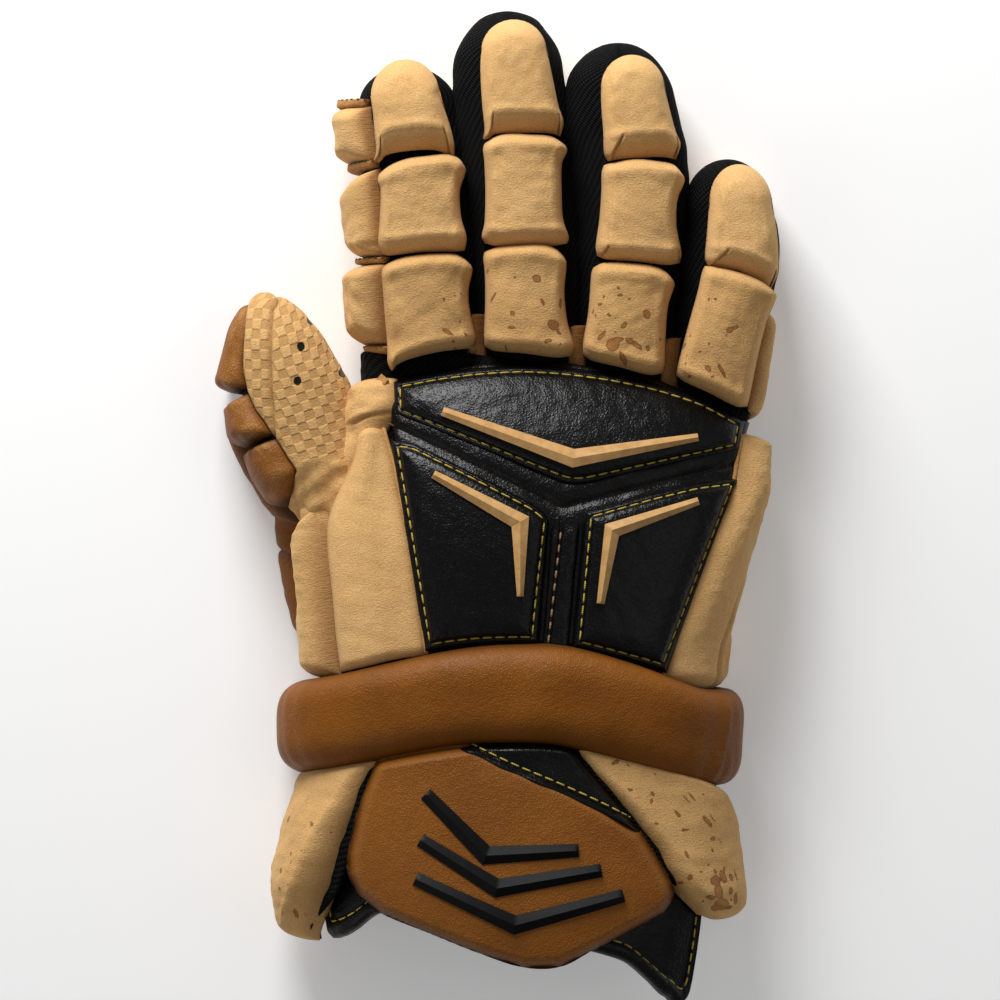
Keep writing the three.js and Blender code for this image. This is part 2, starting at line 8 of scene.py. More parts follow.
import bmesh
import bpy
import numpy as np
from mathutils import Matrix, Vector


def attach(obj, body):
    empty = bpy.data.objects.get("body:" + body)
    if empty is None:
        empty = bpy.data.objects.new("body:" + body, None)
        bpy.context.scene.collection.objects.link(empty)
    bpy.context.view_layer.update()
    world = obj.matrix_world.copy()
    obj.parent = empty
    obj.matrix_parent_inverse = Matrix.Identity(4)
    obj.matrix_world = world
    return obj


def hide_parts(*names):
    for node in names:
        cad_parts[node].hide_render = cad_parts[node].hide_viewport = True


MM = 0.001
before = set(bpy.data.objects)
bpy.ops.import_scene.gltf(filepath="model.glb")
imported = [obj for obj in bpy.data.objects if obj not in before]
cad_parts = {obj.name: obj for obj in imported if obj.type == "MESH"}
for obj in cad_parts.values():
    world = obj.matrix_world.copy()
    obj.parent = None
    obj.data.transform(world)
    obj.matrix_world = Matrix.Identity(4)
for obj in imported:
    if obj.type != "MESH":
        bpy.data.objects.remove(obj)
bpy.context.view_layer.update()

# Sizes shared with the solids
SEAM = 0.4
SUEDE = 1.6
SLEEVE_WALL = 2.0
HAND_WALL = 2.4
LINER = 2.0
REST = SEAM + SUEDE
ON_TUBE = 0.6
ON_LINER = 3.4
FINGER_PAD = 10.0
BACK_PAD = 8.0
SIDE_ROLL = 10.0
BAND = 10.5
BAND_HALF = 15.5
CUFF_PAD = 9.0
HAND_BACK = -86.0
HAND_FRONT = 44.0
ROOT_SKEW = 0.16
# Angles where the palm's suede begins, on the hand and on the fingers
HAND_SPLIT = (8 + 0.5) * 15.0
FINGER_SPLIT = (5 + 0.5) * 22.5


# Shapes


def listed(values, t):
    """Smooth value of an evenly spaced list at t from 0 to 1."""
    return table(np.linspace(0, 1, len(values)), np.asarray(values, float), t)


def table(stations, values, y):
    """Smooth value at y between rows, by a cubic through neighbouring rows."""
    last = len(stations) - 1
    k = np.clip(np.searchsorted(stations, y, side="right") - 1, 0, last - 1)
    before, after = np.maximum(k - 1, 0), np.minimum(k + 2, last)
    span = stations[k + 1] - stations[k]
    t = np.clip((y - stations[k]) / span, 0, 1)
    slope_a = (values[k + 1] - values[before]) / (stations[k + 1] - stations[before]) * span
    slope_b = (values[after] - values[k]) / (stations[after] - stations[k]) * span
    t2, t3 = t * t, t * t * t
    return (
        values[k] * (2 * t3 - 3 * t2 + 1)
        + slope_a * (t3 - 2 * t2 + t)
        + values[k + 1] * (3 * t2 - 2 * t3)
        + slope_b * (t3 - t2)
    )


KEYS = ("y", "x", "half", "skew", "mid", "up", "depth")


class Tube:
    """A tube along Y whose sections are superellipses, flattened on the floor."""

    def __init__(self, rows, crown, belly, tip=None, cap=0.0):
        columns = np.array(rows, float).T
        self.y = columns[0]
        self.columns = dict(zip(KEYS, columns))
        self.crown, self.belly, self.tip, self.cap = crown, belly, tip, cap

    def section(self, y, lift):
        value = {k: table(self.y, self.columns[k], y) for k in KEYS[1:]}
        scale = 1.0
        if self.tip is not None:
            past = (y - (self.tip - self.cap)) / (self.cap + lift)
            scale = np.sqrt(np.maximum(1 - np.maximum(past, 0) ** 2, 0))
        grown = {k: (value[k] + lift) * scale for k in ("half", "up", "depth")}
        return {**value, **grown}

    def point(self, y, degrees, lift):
        y, degrees, lift = np.broadcast_arrays(y, degrees, lift)
        s = self.section(y, lift)
        sin, cos = np.sin(np.radians(degrees)), np.cos(np.radians(degrees))
        power = np.where(cos > 0, 2 / self.crown, 2 / self.belly)
        across = s["half"] * np.sign(sin) * np.abs(sin) ** power
        reach = np.where(cos > 0, s["up"], s["depth"])
        rise = reach * np.sign(cos) * np.abs(cos) ** power
        z = np.maximum(s["mid"] + rise, np.maximum(REST - lift, 0))
        return np.stack([s["x"] + across, y - s["skew"] * across, z], -1)

    def round_tip(self, y, base, lift):
        """Stations at a lift over those at a base, so that layers over the tip close as it does."""
        if self.tip is None:
            return y
        start = self.tip - self.cap
        return np.where(y > start, start + (y - start) * (self.cap + lift) / (self.cap + base), y)

    def locate(self, x, y, lift):
        """The station and angle under a place in plan."""
        station = np.array(y, float)
        for _ in range(4):
            s = self.section(station, lift)
            station = y + s["skew"] * (x - s["x"])
        s = self.section(station, lift)
        share = np.clip((x - s["x"]) / s["half"], -0.995, 0.995)
        angle = np.degrees(np.arcsin(np.sign(share) * np.abs(share) ** (self.crown / 2)))
        return station, angle


def knuckle(x):
    """The station of the knuckles' line, which slants across the hand."""
    return HAND_FRONT + SEAM - ROOT_SKEW * (x - 23)


# Rows of y, left, right, top, mid and skew
HAND_ROWS = (
    (-168, -55, 67, 50, 20, 0),
    (-140, -58, 70, 52, 20, 0),
    (-110, -58, 70, 50, 20, 0),
    (-86, -57, 69, 48, 20, 0),
    (-70, -57, 70, 48, 20, 0),
    (-40, -57, 72, 47, 20, 0),
    (-10, -54, 77, 45, 20, 0.03),
    (20, -45, 81, 39, 19, 0.1),
    (44, -39, 85, 27, 15, ROOT_SKEW),
)
hand = Tube(
    [(y, (a + b) / 2, (b - a) / 2, skew, mid, top - mid, 21) for y, a, b, top, mid, skew in HAND_ROWS],
    2.3,
    3,
)

# Rows of y, x, half and skew, then the tip's y and the length of its rounding
FINGERS = {
    "index": (
        (
            (knuckle(-23.7), -23.7, 15.2, ROOT_SKEW),
            (83, -25.4, 16.2, 0),
            (117, -29.2, 15.8, 0),
            (132, -31.2, 16.4, 0),
        ),
        146.7,
        15,
    ),
    "middle": (
        ((knuckle(9.3), 9.3, 16.3, ROOT_SKEW), (83, 9.3, 17, 0), (118, 4.7, 17.4, 0), (147, 2.6, 17.2, 0)),
        165,
        18,
    ),
    "ring": (
        (
            (knuckle(41.8), 41.8, 15.2, ROOT_SKEW),
            (67, 43.4, 15.6, 0),
            (100, 44.3, 17.6, 0),
            (120, 42.4, 18, 0),
            (137, 39.9, 17.4, 0),
        ),
        154.3,
        17,
    ),
    "pinky": (
        (
            (knuckle(70.8), 70.8, 13, ROOT_SKEW),
            (50, 72.4, 13.6, 0.05),
            (67, 75.2, 14.4, 0),
            (83, 77.2, 15, 0),
            (100, 76.8, 14.2, 0),
        ),
        115,
        15,
    ),
}
FINGER_MID, FINGER_UP, FINGER_DEPTH, FINGER_CURL = 14, 13, 13, 4


def finger_tube(rows, tip, cap):
    """A finger's tube, arched between its root and its tip."""
    root = rows[0][0]
    table_rows = []
    for y, x, half, skew in (*rows, (tip, *rows[-1][1:])):
        curl = FINGER_CURL * math.sin(math.pi * (y - root) / (tip - root))
        table_rows.append((y, x, half, skew, FINGER_MID + curl, FINGER_UP, FINGER_DEPTH))
    return Tube(table_rows, 2.4, 2.6, tip, cap)


fingers = {name: finger_tube(*row) for name, row in FINGERS.items()}
roots = {name: row[0][0][0] for name, row in FINGERS.items()}

THUMB_TIP, THUMB_CAP, THUMB_ROOT = 67, 24, -12
THUMB_ROWS = (
    (THUMB_ROOT, -47, 13, 0, 17, 12, 15),
    (0, -56, 15, 0, 17, 14, 16),
    (17, -65, 16.5, 0, 17, 15, 16),
    (37, -69.9, 17.2, 0, 17, 15, 16),
    (50, -73.8, 14.8, 0, 17, 14, 16),
    (THUMB_TIP, -79, 14.4, 0, 17, 14, 16),
)
thumb = Tube(THUMB_ROWS, 2.2, 2.6, THUMB_TIP, THUMB_CAP)


WAVES = 10


def wobble(points, wavelength, seed):
    """Smooth noise between about -1 and 1 at points, from seeded waves in every direction."""
    rng = np.random.default_rng(seed)
    total = np.zeros(points.shape[:-1])
    for _ in range(WAVES):
        direction = rng.normal(size=3)
        direction *= 2 * math.pi / (np.linalg.norm(direction) * wavelength * rng.uniform(0.7, 1.4))
        total += np.sin(points @ direction + rng.uniform(0, 2 * math.pi))
    return total / math.sqrt(WAVES) * 0.9


def ramp(x):
    """From 0 to 1 over x from 0 to 1, smooth at both ends."""
    t = unit(x)
    return t * t * (3 - 2 * t)


def edge_round(distance, radius):
    """A quarter circle's height over a distance from an edge, flat past its radius."""
    t = unit(distance / radius)
    return np.sqrt(1 - (1 - t) ** 2)


def bell(x, width):
    """1 at zero, falling smoothly away on both sides."""
    return np.exp(-((x / width) ** 2))


def unit(values):
    """Values kept from 0 to 1."""
    return np.clip(values, 0, 1)


# Meshes


def grid_quads(rows, columns, wrap=False):
    """The faces of a grid of points, joined round where it wraps."""
    i = np.arange(columns if wrap else columns - 1)
    j = np.arange(rows - 1)
    jj, ii = np.meshgrid(j, i, indexing="ij")
    nxt = (ii + 1) % columns
    quads = [jj * columns + ii, jj * columns + nxt, (jj + 1) * columns + nxt, (jj + 1) * columns + ii]
    return np.stack(quads, -1).reshape(-1, 4).tolist()


def rim_of(rows, columns):
    """Rows and columns once round a grid's edge."""
    row = [*[0] * columns, *range(1, rows), *[rows - 1] * (columns - 1), *range(rows - 2, 0, -1)]
    column = [*range(columns), *[columns - 1] * (rows - 1), *range(columns - 2, -1, -1), *[0] * (rows - 2)]
    return np.array(row), np.array(column)


def lengths(grid, axis):
    """Distance along a grid of points, summed from its first row or column."""
    step = np.linalg.norm(np.diff(grid, axis=axis), axis=-1)
    start = np.zeros_like(np.take(step, [0], axis=axis))
    return np.concatenate([start, np.cumsum(step, axis=axis)], axis=axis)


UNDER_STEP = 4


class Shape:
    """Vertices and faces gathered for one piece, with a flat coordinate and masks for its material."""

    def __init__(self):
        self.verts, self.faces, self.flats, self.masks, self.count = [], [], [], {}, 0

    def add(self, verts, faces, flat, **masks):
        n = verts.size // 3
        for key in set(self.masks) | set(masks):
            held = self.masks.setdefault(key, [np.zeros(self.count)] if self.count else [])
            held.append(np.broadcast_to(masks.get(key, 0.0), (n,)).astype(float))
        self.faces += [[int(v) + self.count for v in face] for face in faces]
        self.verts.append(verts.reshape(-1, 3))
        self.flats.append(flat.reshape(-1, 3))
        self.count += n

    def slab(self, top, bottom, flat, **masks):
        """A closed sheet between two grids of points. Its underside keeps only some of the columns."""
        rows, columns = top.shape[:2]
        keep = np.unique(np.append(np.arange(0, columns, UNDER_STEP), columns - 1))
        used = np.zeros((rows, columns), bool)
        used[[0, -1]] = True
        used[:, keep] = True
        under = np.full((rows, columns), -1)
        under[used] = rows * columns + np.arange(used.sum())
        a, b = under[1:-1, keep[:-1]], under[1:-1, keep[1:]]
        faces = grid_quads(rows, columns)
        faces += np.stack([a[1:], b[1:], b[:-1], a[:-1]], -1).reshape(-1, 4).tolist()
        for first, last in zip(keep[:-1], keep[1:]):
            faces.append([under[1, first], under[1, last], *under[0, first : last + 1][::-1]])
            faces.append([*under[-1, first : last + 1], under[-2, last], under[-2, first]])
        row, column = rim_of(rows, columns)
        upper, lower = row * columns + column, under[row, column]
        faces += np.stack([upper, lower, np.roll(lower, -1), np.roll(upper, -1)], -1).tolist()
        both = {}
        for key, value in masks.items():
            value = np.broadcast_to(value, (rows, columns))
            both[key] = np.concatenate([value.ravel(), value[used]])
        verts = np.concatenate([top.reshape(-1, 3), bottom[used]])
        self.add(verts, faces, np.concatenate([flat.reshape(-1, 3), flat[used]]), **both)

    def lathe(self, rings, flat, closed=False):
        """A tube through rings of points, its ends closed, or its last ring joined to its first."""
        rows, columns = rings.shape[:2]
        faces = grid_quads(rows, columns, wrap=True)
        last = (rows - 1) * columns
        if closed:
            faces += [[last + i, last + (i + 1) % columns, (i + 1) % columns, i] for i in range(columns)]
        else:
            faces += [list(range(columns))[::-1], [last + i for i in range(columns)]]
        self.add(rings, faces, flat)


def placed(name, data):
    """A new object with this data, in the scene."""
    obj = bpy.data.objects.new(name, data)
    bpy.context.scene.collection.objects.link(obj)
    return obj


def make(name, shape, finish, replaced=None):
    """The object for a shape: on the one body, in place of its solid."""
    mesh = bpy.data.meshes.new(name)
    verts = np.concatenate(shape.verts) * MM
    mesh.from_pydata(verts.tolist(), [], shape.faces)
    flat = mesh.attributes.new("flat", "FLOAT_VECTOR", "POINT")
    flat.data.foreach_set("vector", np.concatenate(shape.flats).astype(np.float32).ravel())
    for key, parts in shape.masks.items():
        mask = mesh.attributes.new(key, "FLOAT", "POINT")
        mask.data.foreach_set("value", np.concatenate(parts).astype(np.float32))
    mesh.polygons.foreach_set("use_smooth", [True] * len(mesh.polygons))
    mesh.validate()
    obj = placed(name, mesh)
    recalculate(mesh)
    mesh.materials.append(finish)
    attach(obj, "root")
    if replaced:
        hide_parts(replaced)
    return obj


def cover(name, patch, finish, slot, replaced=None, fill=None, **masks):
    """The object for a single patch."""
    shape = Shape()
    patch.into(shape, **masks)
    return make(name, shape, finish, replaced)


def recalculate(mesh):
    """Turns a closed mesh's faces outwards."""
    work = bmesh.new()
    work.from_mesh(mesh)
    bmesh.ops.recalc_face_normals(work, faces=work.faces)
    work.to_mesh(mesh)
    work.free()


class Patch:
    """A piece of a tube's surface as a grid of stations and angles, with the distances to its four sides."""

    def __init__(self, tube, station, angle, base, measure_at=None, plan=None):
        self.tube, self.station, self.angle, self.base, self.plan = tube, station, angle, base, plan
        grid = tube.point(station, angle, base if measure_at is None else measure_at)
        self.left = lengths(grid, 1)
        self.right = self.left[:, -1:] - self.left
        self.near = lengths(grid, 0)
        self.far = self.near[-1:] - self.near
        self.width = self.left[:, -1:]
        self.length = self.near[-1:]
        middle = self.left - self.width / 2
        self.flat = np.stack([middle, self.near - self.length / 2, np.zeros_like(middle)], -1)
        self.grid = grid
        self.height = np.zeros_like(middle)

    def edge(self):
        return np.minimum(np.minimum(self.left, self.right), np.minimum(self.near, self.far))

    def surface(self, lift, pick=lambda grid: grid):
        """Points at a lift over the tube, under what pick takes from the grids. A plan keeps its outline."""
        if self.plan is None:
            station = self.tube.round_tip(pick(self.station), self.base, lift)
            return self.tube.point(station, pick(self.angle), lift)
        x, y = pick(self.plan[..., 0]), pick(self.plan[..., 1])
        return self.tube.point(*self.tube.locate(x, y, lift), lift)

    def top(self):
        return self.surface(self.base + self.height)

    def bottom(self):
        return self.surface(self.base)

    def into(self, shape, **masks):
        shape.slab(self.top(), self.bottom(), self.flat, **masks)

    def sample(self, row, column, extra):
        """Points on the top at fractional rows and columns, extra above it."""
        row = np.clip(row, 0, self.station.shape[0] - 1.001)
        column = np.clip(column, 0, self.station.shape[1] - 1.001)
        r, c = row.astype(int), column.astype(int)
        fr, fc = row - r, column - c

        def mix(a):
            near = a[r, c] * (1 - fc) + a[r, c + 1] * fc
            far = a[r + 1, c] * (1 - fc) + a[r + 1, c + 1] * fc
            return near * (1 - fr) + far * fr

        return self.surface(self.base + mix(self.height) + extra, mix)

    def line(self, side, distance, inset=None):
        """Rows and columns of the line at a distance from one side, kept inset from the sides it meets."""
        upright = side in ("left", "right")
        field = getattr(self, side) if upright else getattr(self, side).T
        back = side in ("right", "far")
        last = field.shape[1] - 1
        found = [np.interp(distance, reach[::-1] if back else reach, np.arange(last + 1)) for reach in field]
        found = last - np.array(found) if back else np.array(found)
        index = np.arange(len(found), dtype=float)
        path = np.stack([index, found] if upright else [found, index], -1)
        if inset is None:
            return path
        row, column = np.round(path).astype(int).T
        ends = (self.near, self.far) if upright else (self.left, self.right)
        return path[(ends[0][row, column] >= inset) & (ends[1][row, column] >= inset)]


def spread(n, crowd=0.5):
    """Values from 0 to 1, partly crowded to both ends."""
    t = np.linspace(0, 1, n)
    return (1 - crowd) * t + crowd * (0.5 - 0.5 * np.cos(math.pi * t))


def ruled(low, high, columns, rows, crowd=0.5):
    """A plan grid between two plan lines, each given as points along it."""
    p, q = spread(columns, crowd), spread(rows, crowd)[:, None, None]
    a, b = resample(low, p), resample(high, p)
    return a[None] * (1 - q) + b[None] * q


def bounded(left, right, low, far, rows, columns, crowd=0.55):
    """A plan grid inside four smooth edges. low and far are given without their ends."""
    p, q = spread(columns, crowd), spread(rows, 0.5)
    low, far = (left[0], *low, right[0]), (left[-1], *far, right[-1])
    sides = curve(left, q)[:, None], curve(right, q)[:, None]
    ends = curve(low, p)[None], curve(far, p)[None]
    p, q = p[None, :, None], q[:, None, None]
    near, away = [(1 - p) * e[:, :1] + p * e[:, -1:] for e in ends]
    between = (1 - q) * near + q * away
    return (1 - p) * sides[0] + p * sides[1] + (1 - q) * ends[0] + q * ends[1] - between


def shares_along(line):
    """Each point's share of a line's length."""
    reach = lengths(line, 0)
    return reach / reach[-1]


def curve(line, p):
    """Points at shares p of a line's length, on a smooth curve through its points."""
    line = np.asarray(line, float)
    return np.stack([table(shares_along(line), line[:, k], p) for k in (0, 1)], -1)


def distance_to(plan, points):
    """Distance in plan from each point of a grid to the nearest of the listed points."""
    gone = plan[..., None, :] - points
    return np.sqrt((gone**2).sum(-1).min(-1))


def resample(line, p):
    """Points at shares p of a line's length, straight between its points."""
    line = np.asarray(line, float)
    at = shares_along(line)
    return np.stack([np.interp(p, at, line[:, k]) for k in (0, 1)], -1)


def on_tube(tube, plan, base, lift):
    """A patch under a plan grid, on a tube."""
    station, angle = tube.locate(plan[..., 0], plan[..., 1], lift)
    return Patch(tube, station, angle, base, lift, plan)


def round_tube(tube, near, far, start, end, rows, columns, base, measure_at):
    """A patch between stations near and far and angles start and end, each listed along or across it."""
    q, p = spread(rows)[:, None], spread(columns)[None, :]
    station = listed(near, p) * (1 - q) + listed(far, p) * q
    angle = listed(start, q) * (1 - p) + listed(end, q) * p
    return Patch(tube, station, angle, base, measure_at)


def places_at(path, reach, at):
    """Points of a path at some distances along it."""
    return np.stack([np.interp(at, reach, path[:, k]) for k in range(3)], -1)


def even_path(path, step):
    """The path's points at equal steps."""
    reach = lengths(path, 0)
    count = max(int(reach[-1] / step), 1)
    return places_at(path, reach, np.linspace(0, reach[-1], count + 1))


def beside(along):
    """The directions up and sideways from some directions along a path."""
    up = np.array([0, 0, 1.0]) - along * along[..., 2:3]
    up /= np.linalg.norm(up, axis=-1, keepdims=True)
    return up, np.cross(along, up)


STITCH_SIDES, STITCH_RINGS, STITCH_STEP, STITCH_SINK = 6, 6, 0.3, 0.3
CORD_SIDES, CORD_STEP = 10, 0.8


def stitch_line(shape, path, length, gap, radius):
    """Stitches along a path: short arched threads whose ends go into the leather."""
    points = even_path(path, STITCH_STEP)
    reach = lengths(points, 0)
    count = max(int(round(reach[-1] / (length + gap))), 1)
    pitch = reach[-1] / count
    t = np.linspace(0, 1, STITCH_RINGS)
    turn = np.linspace(0, 2 * math.pi, STITCH_SIDES, endpoint=False)
    thick = radius * np.sqrt(np.maximum(1 - (2 * t - 1) ** 6, 0.08))
    rise = radius * 0.9 - (STITCH_SINK + radius) * (2 * t - 1) ** 4
    for k in range(count):
        at = k * pitch + gap / 2 + (pitch - gap) * t
        line = places_at(points, reach, at)
        along = line[-1] - line[0]
        up, side = beside(along / np.linalg.norm(along))
        round_it = side * np.cos(turn)[:, None] + up * 0.8 * np.sin(turn)[:, None]
        ring = line[:, None] + up * rise[:, None, None] + round_it[None] * thick[:, None, None]
        shape.lathe(ring, np.stack(np.broadcast_arrays(turn[None] * radius, at[:, None], 0.0), -1))


def cord_shape(shape, path, radius):
    """Piping: a round bead along a path."""
    points = even_path(path, CORD_STEP)
    along = np.gradient(points, axis=0)
    up, side = beside(along / np.linalg.norm(along, axis=1, keepdims=True))
    turn = np.linspace(0, 2 * math.pi, CORD_SIDES, endpoint=False)[None, :, None]
    index = np.arange(len(points))
    ends = np.sqrt(unit(np.minimum(index, index[::-1]) + 0.15))[:, None, None]
    ring = points[:, None] + radius * ends * (side[:, None] * np.cos(turn) + up[:, None] * np.sin(turn))
    flat = np.stack(np.broadcast_arrays(turn[..., 0] * radius, index[:, None] * CORD_STEP, 0.0), -1)
    shape.lathe(ring, flat)


# Materials


class Nodes:
    """A material being built from nodes."""

    def __init__(self, name):
        self.material = bpy.data.materials.new(name)
        self.material.use_nodes = True
        self.tree = self.material.node_tree
        self.shader = self.tree.nodes["Principled BSDF"]

    def node(self, kind, inputs=None, **settings):
        made = self.tree.nodes.new(kind)
        for key, value in settings.items():
            setattr(made, key, value)
        for key, value in (inputs or {}).items():
            self.plug(made.inputs[key], value)
        return made

    def plug(self, socket, value):
        if isinstance(value, bpy.types.NodeSocket):
            self.tree.links.new(value, socket)
        else:
            socket.default_value = value

    def math(self, operation, a, b=0.0):
        return self.node("ShaderNodeMath", {0: a, 1: b}, operation=operation).outputs[0]

    def plus(self, a, b):
        return self.math("ADD", a, b)

    def times(self, a, b):
        return self.math("MULTIPLY", a, b)

    def noise(self, vector, scale, detail=3.0, rough=0.5):
        inputs = {"Vector": vector, "Scale": scale, "Detail": detail, "Roughness": rough}
        return self.node("ShaderNodeTexNoise", inputs).outputs["Fac"]

    def shift(self, noise, size):
        """A noise moved to lie around zero, from minus to plus half a size."""
        return self.times(self.math("SUBTRACT", noise, 0.5), size)

    def cells(self, vector, scale, smooth):
        inputs = {"Vector": vector, "Scale": scale, "Smoothness": smooth}
        return self.node("ShaderNodeTexVoronoi", inputs, feature="SMOOTH_F1").outputs["Distance"]

    def between(self, value, low, high, to_low=0.0, to_high=1.0):
        made = self.node(
            "ShaderNodeMapRange",
            {"Value": value, "From Min": low, "From Max": high, "To Min": to_low, "To Max": to_high},
        )
        return made.outputs["Result"]

    def mix(self, factor, a, b):
        made = self.node("ShaderNodeMix", data_type="RGBA")
        self.plug(made.inputs["Factor"], factor)
        self.plug(made.inputs["A"], a)
        self.plug(made.inputs["B"], b)
        return made.outputs["Result"]

    def attribute(self, name, output="Fac"):
        return self.node("ShaderNodeAttribute", attribute_name=name).outputs[output]

    def across_and_along(self):
        """The flat coordinate's two lengths."""
        flat = self.attribute("flat", "Vector")
        split = self.node("ShaderNodeSeparateXYZ", {0: flat})
        return split.outputs[0], split.outputs[1]

    def stretched(self, across, along):
        """The flat coordinate, scaled apart across and along a piece."""
        flat = self.attribute("flat", "Vector")
        made = self.node("ShaderNodeVectorMath", {0: flat, 1: (across, along, 1.0)}, operation="MULTIPLY")
        return made.outputs[0]

    def place(self):
        """The point in millimetres."""
        where = self.node("ShaderNodeTexCoord").outputs["Object"]
        scaled = self.node("ShaderNodeVectorMath", {0: where, "Scale": 1 / MM}, operation="SCALE")
        return scaled.outputs[0]

    def bump(self, layers):
        """Bumps chained, each a height and its depth in millimetres."""
        normal = None
        for height, depth in layers:
            made = self.node("ShaderNodeBump", {"Height": height, "Distance": depth * MM, "Strength": 1.0})
            if normal is not None:
                self.plug(made.inputs["Normal"], normal)
            normal = made.outputs["Normal"]
        self.plug(self.shader.inputs["Normal"], normal)

    def set(self, **values):
        for key, value in values.items():
            self.plug(self.shader.inputs[key.replace("_", " ")], value)


def tone(*values):
    """A colour from its screen values, 0 to 255."""
    linear = [(v / 255 / 12.92) if v < 10.3 else ((v / 255 + 0.055) / 1.055) ** 2.4 for v in values]
    return (*linear, 1.0)


# Millimetres from one check of the suede, row of loops or column of loops to the next
CHECK, KNIT_ROW, KNIT_COLUMN = 3.1, 1.5, 1.7


def with_checks(n, place, color):
    """The suede's colour with its embossed checks, and the checks' height."""
    per_mm = 2 * math.pi / (2 * CHECK)
    wander = n.shift(n.noise(place, 0.12, 2), 1.2)
    waves = [n.math("SINE", n.times(n.plus(flat, wander), per_mm)) for flat in n.across_and_along()]
    u, v = [n.between(wave, -0.24, 0.24, -1, 1) for wave in waves]
    board = n.times(n.times(u, v), n.attribute("checked"))
    color = n.mix(n.times(n.between(board, 0.2, -1), 0.36), color, tone(150, 104, 56))
    return color, n.between(board, -1, 1)


def with_splashes(n, place, color):
    """The suede's colour with its printed splashes, each darker at its rim."""
    edge = n.plus(n.attribute("spot"), n.shift(n.noise(place, 0.9, 3, 0.6), 0.9))
    rim = n.times(n.between(edge, 0.1, -0.1), n.between(edge, -0.55, -0.2))
    color = n.mix(n.times(n.between(edge, -0.05, -0.16), 0.88), color, tone(158, 104, 54))
    return n.mix(n.times(rim, 0.6), color, tone(112, 66, 30))


def suede(name, light, dark, spots=False, checks=False):
    """Brushed suede, with painted shade that darkens it where it is creased."""
    n = Nodes(name)
    place = n.place()
    cloud = n.noise(place, 0.06, 3, 0.55)
    nap = n.noise(place, 0.9, 4, 0.65)
    fine = n.noise(place, 1.9, 2, 0.6)
    shade = n.plus(n.times(cloud, 0.3), n.times(fine, 0.7))
    color = n.mix(n.between(shade, 0.36, 0.64), dark, light)
    # Painted shade: the crease mask darkens the suede towards a deep brown.
    color = n.mix(n.times(n.attribute("crease"), 0.6), color, tone(118, 70, 28))
    brushed = n.noise(n.stretched(1.1, 1.9), 1.1, 2, 0.5)
    layers = [(n.noise(place, 0.22, 2, 0.5), 0.3), (brushed, 0.2), (fine, 0.22)]
    if checks:
        color, board = with_checks(n, place, color)
        color = n.mix(n.between(n.attribute("hole"), 0.35, 0.6), color, tone(12, 10, 8))
        layers.append((board, 0.3))
    if spots:
        color = with_splashes(n, place, color)
    n.set(Base_Color=color, Roughness=n.between(nap, 0.3, 0.7, 0.86, 0.98), Specular_IOR_Level=0.15)
    n.set(Sheen_Weight=0.25, Sheen_Roughness=0.5, Sheen_Tint=tone(255, 226, 178))
    n.bump(layers)
    return n.material


def leather(name, deep, mid, painted_light_and_wear, grain, gloss, depth, shine):
    """Pebbled leather: paler on its crowns with a painted highlight that is in places also wear, darker
    between the pebbles, and darkened with painted shade in its creases.
    """
    n = Nodes(name)
    place = n.place()
    cloud = n.noise(place, 0.045, 4, 0.6)
    pebble = n.between(n.cells(place, grain, 0.35), 0.55, 0.1)
    pores = n.noise(place, grain * 2.6, 3, 0.6)
    wrinkle = n.noise(place, 0.32, 3, 0.55)
    shade = n.plus(n.times(cloud, 0.5), n.times(pores, 0.5))
    color = n.mix(n.between(shade, 0.36, 0.62), deep, mid)
    # Painted highlight, in places also wear: the crown mask pales the pebbles' tops.
    color = n.mix(n.times(n.attribute("crown"), n.between(pebble, 0, 1, 0.75, 1)), color, painted_light_and_wear)
    color = n.mix(n.between(pebble, 0.5, 0, 0, 0.4), color, deep)
    # Painted shade: the crease mask darkens the leather towards near black.
    color = n.mix(n.times(n.attribute("crease"), 0.8), color, tone(22, 12, 6))
    n.set(Base_Color=color, Roughness=n.between(pores, 0.35, 0.65, *gloss), Specular_IOR_Level=shine)
    n.bump([(wrinkle, 0.3), (pebble, depth), (pores, depth * 0.12)])
    return n.material


def knit(name):
    """Black knitted mesh: slanting rows of small loops."""
    n = Nodes(name)
    place = n.place()
    u, v = n.across_and_along()
    row = n.plus(n.times(v, 2 * math.pi / KNIT_ROW), n.times(u, 0.9))
    column = n.plus(n.times(u, 2 * math.pi / KNIT_COLUMN), n.times(v, 2.4))
    loops = n.times(n.math("SINE", row), n.math("SINE", column))
    ridge = n.math("POWER", n.between(loops, -1, 1), 1.6)
    fuzz = n.noise(place, 4.0, 2, 0.6)
    broad = n.noise(place, 0.18, 3, 0.5)
    color = n.mix(ridge, tone(1, 1, 1), tone(34, 34, 35))
    color = n.mix(n.between(broad, 0.4, 0.7, 0, 0.4), color, tone(8, 8, 8))
    n.set(Base_Color=color, Roughness=0.85, Specular_IOR_Level=0.1)
    n.bump([(broad, 0.5), (ridge, 0.9), (fuzz, 0.08)])
    return n.material


def moulded(name, color, darker, rough):
    """Moulded rubber with a faint mottle."""
    n = Nodes(name)
    place = n.place()
    mottle = n.noise(place, 0.3, 3, 0.6)
    grain = n.noise(place, 5.0, 2, 0.6)
    shade = n.mix(n.between(mottle, 0.35, 0.65), darker, color)
    roughness = n.between(grain, 0.3, 0.7, rough - 0.06, rough + 0.08)
    n.set(Base_Color=shade, Roughness=roughness, Specular_IOR_Level=0.14)
    n.bump([(grain, 0.03), (mottle, 0.05)])
    return n.material


def thread(name, color, darker):
    """Twisted thread."""
    n = Nodes(name)
    u, v = n.across_and_along()
    ply = n.between(n.math("SINE", n.plus(n.times(v, 9.0), n.times(u, 6.0))), -1, 1)
    n.set(Base_Color=n.mix(ply, darker, color), Roughness=0.55, Sheen_Weight=0.2)
    n.bump([(ply, 0.12)])
    return n.material


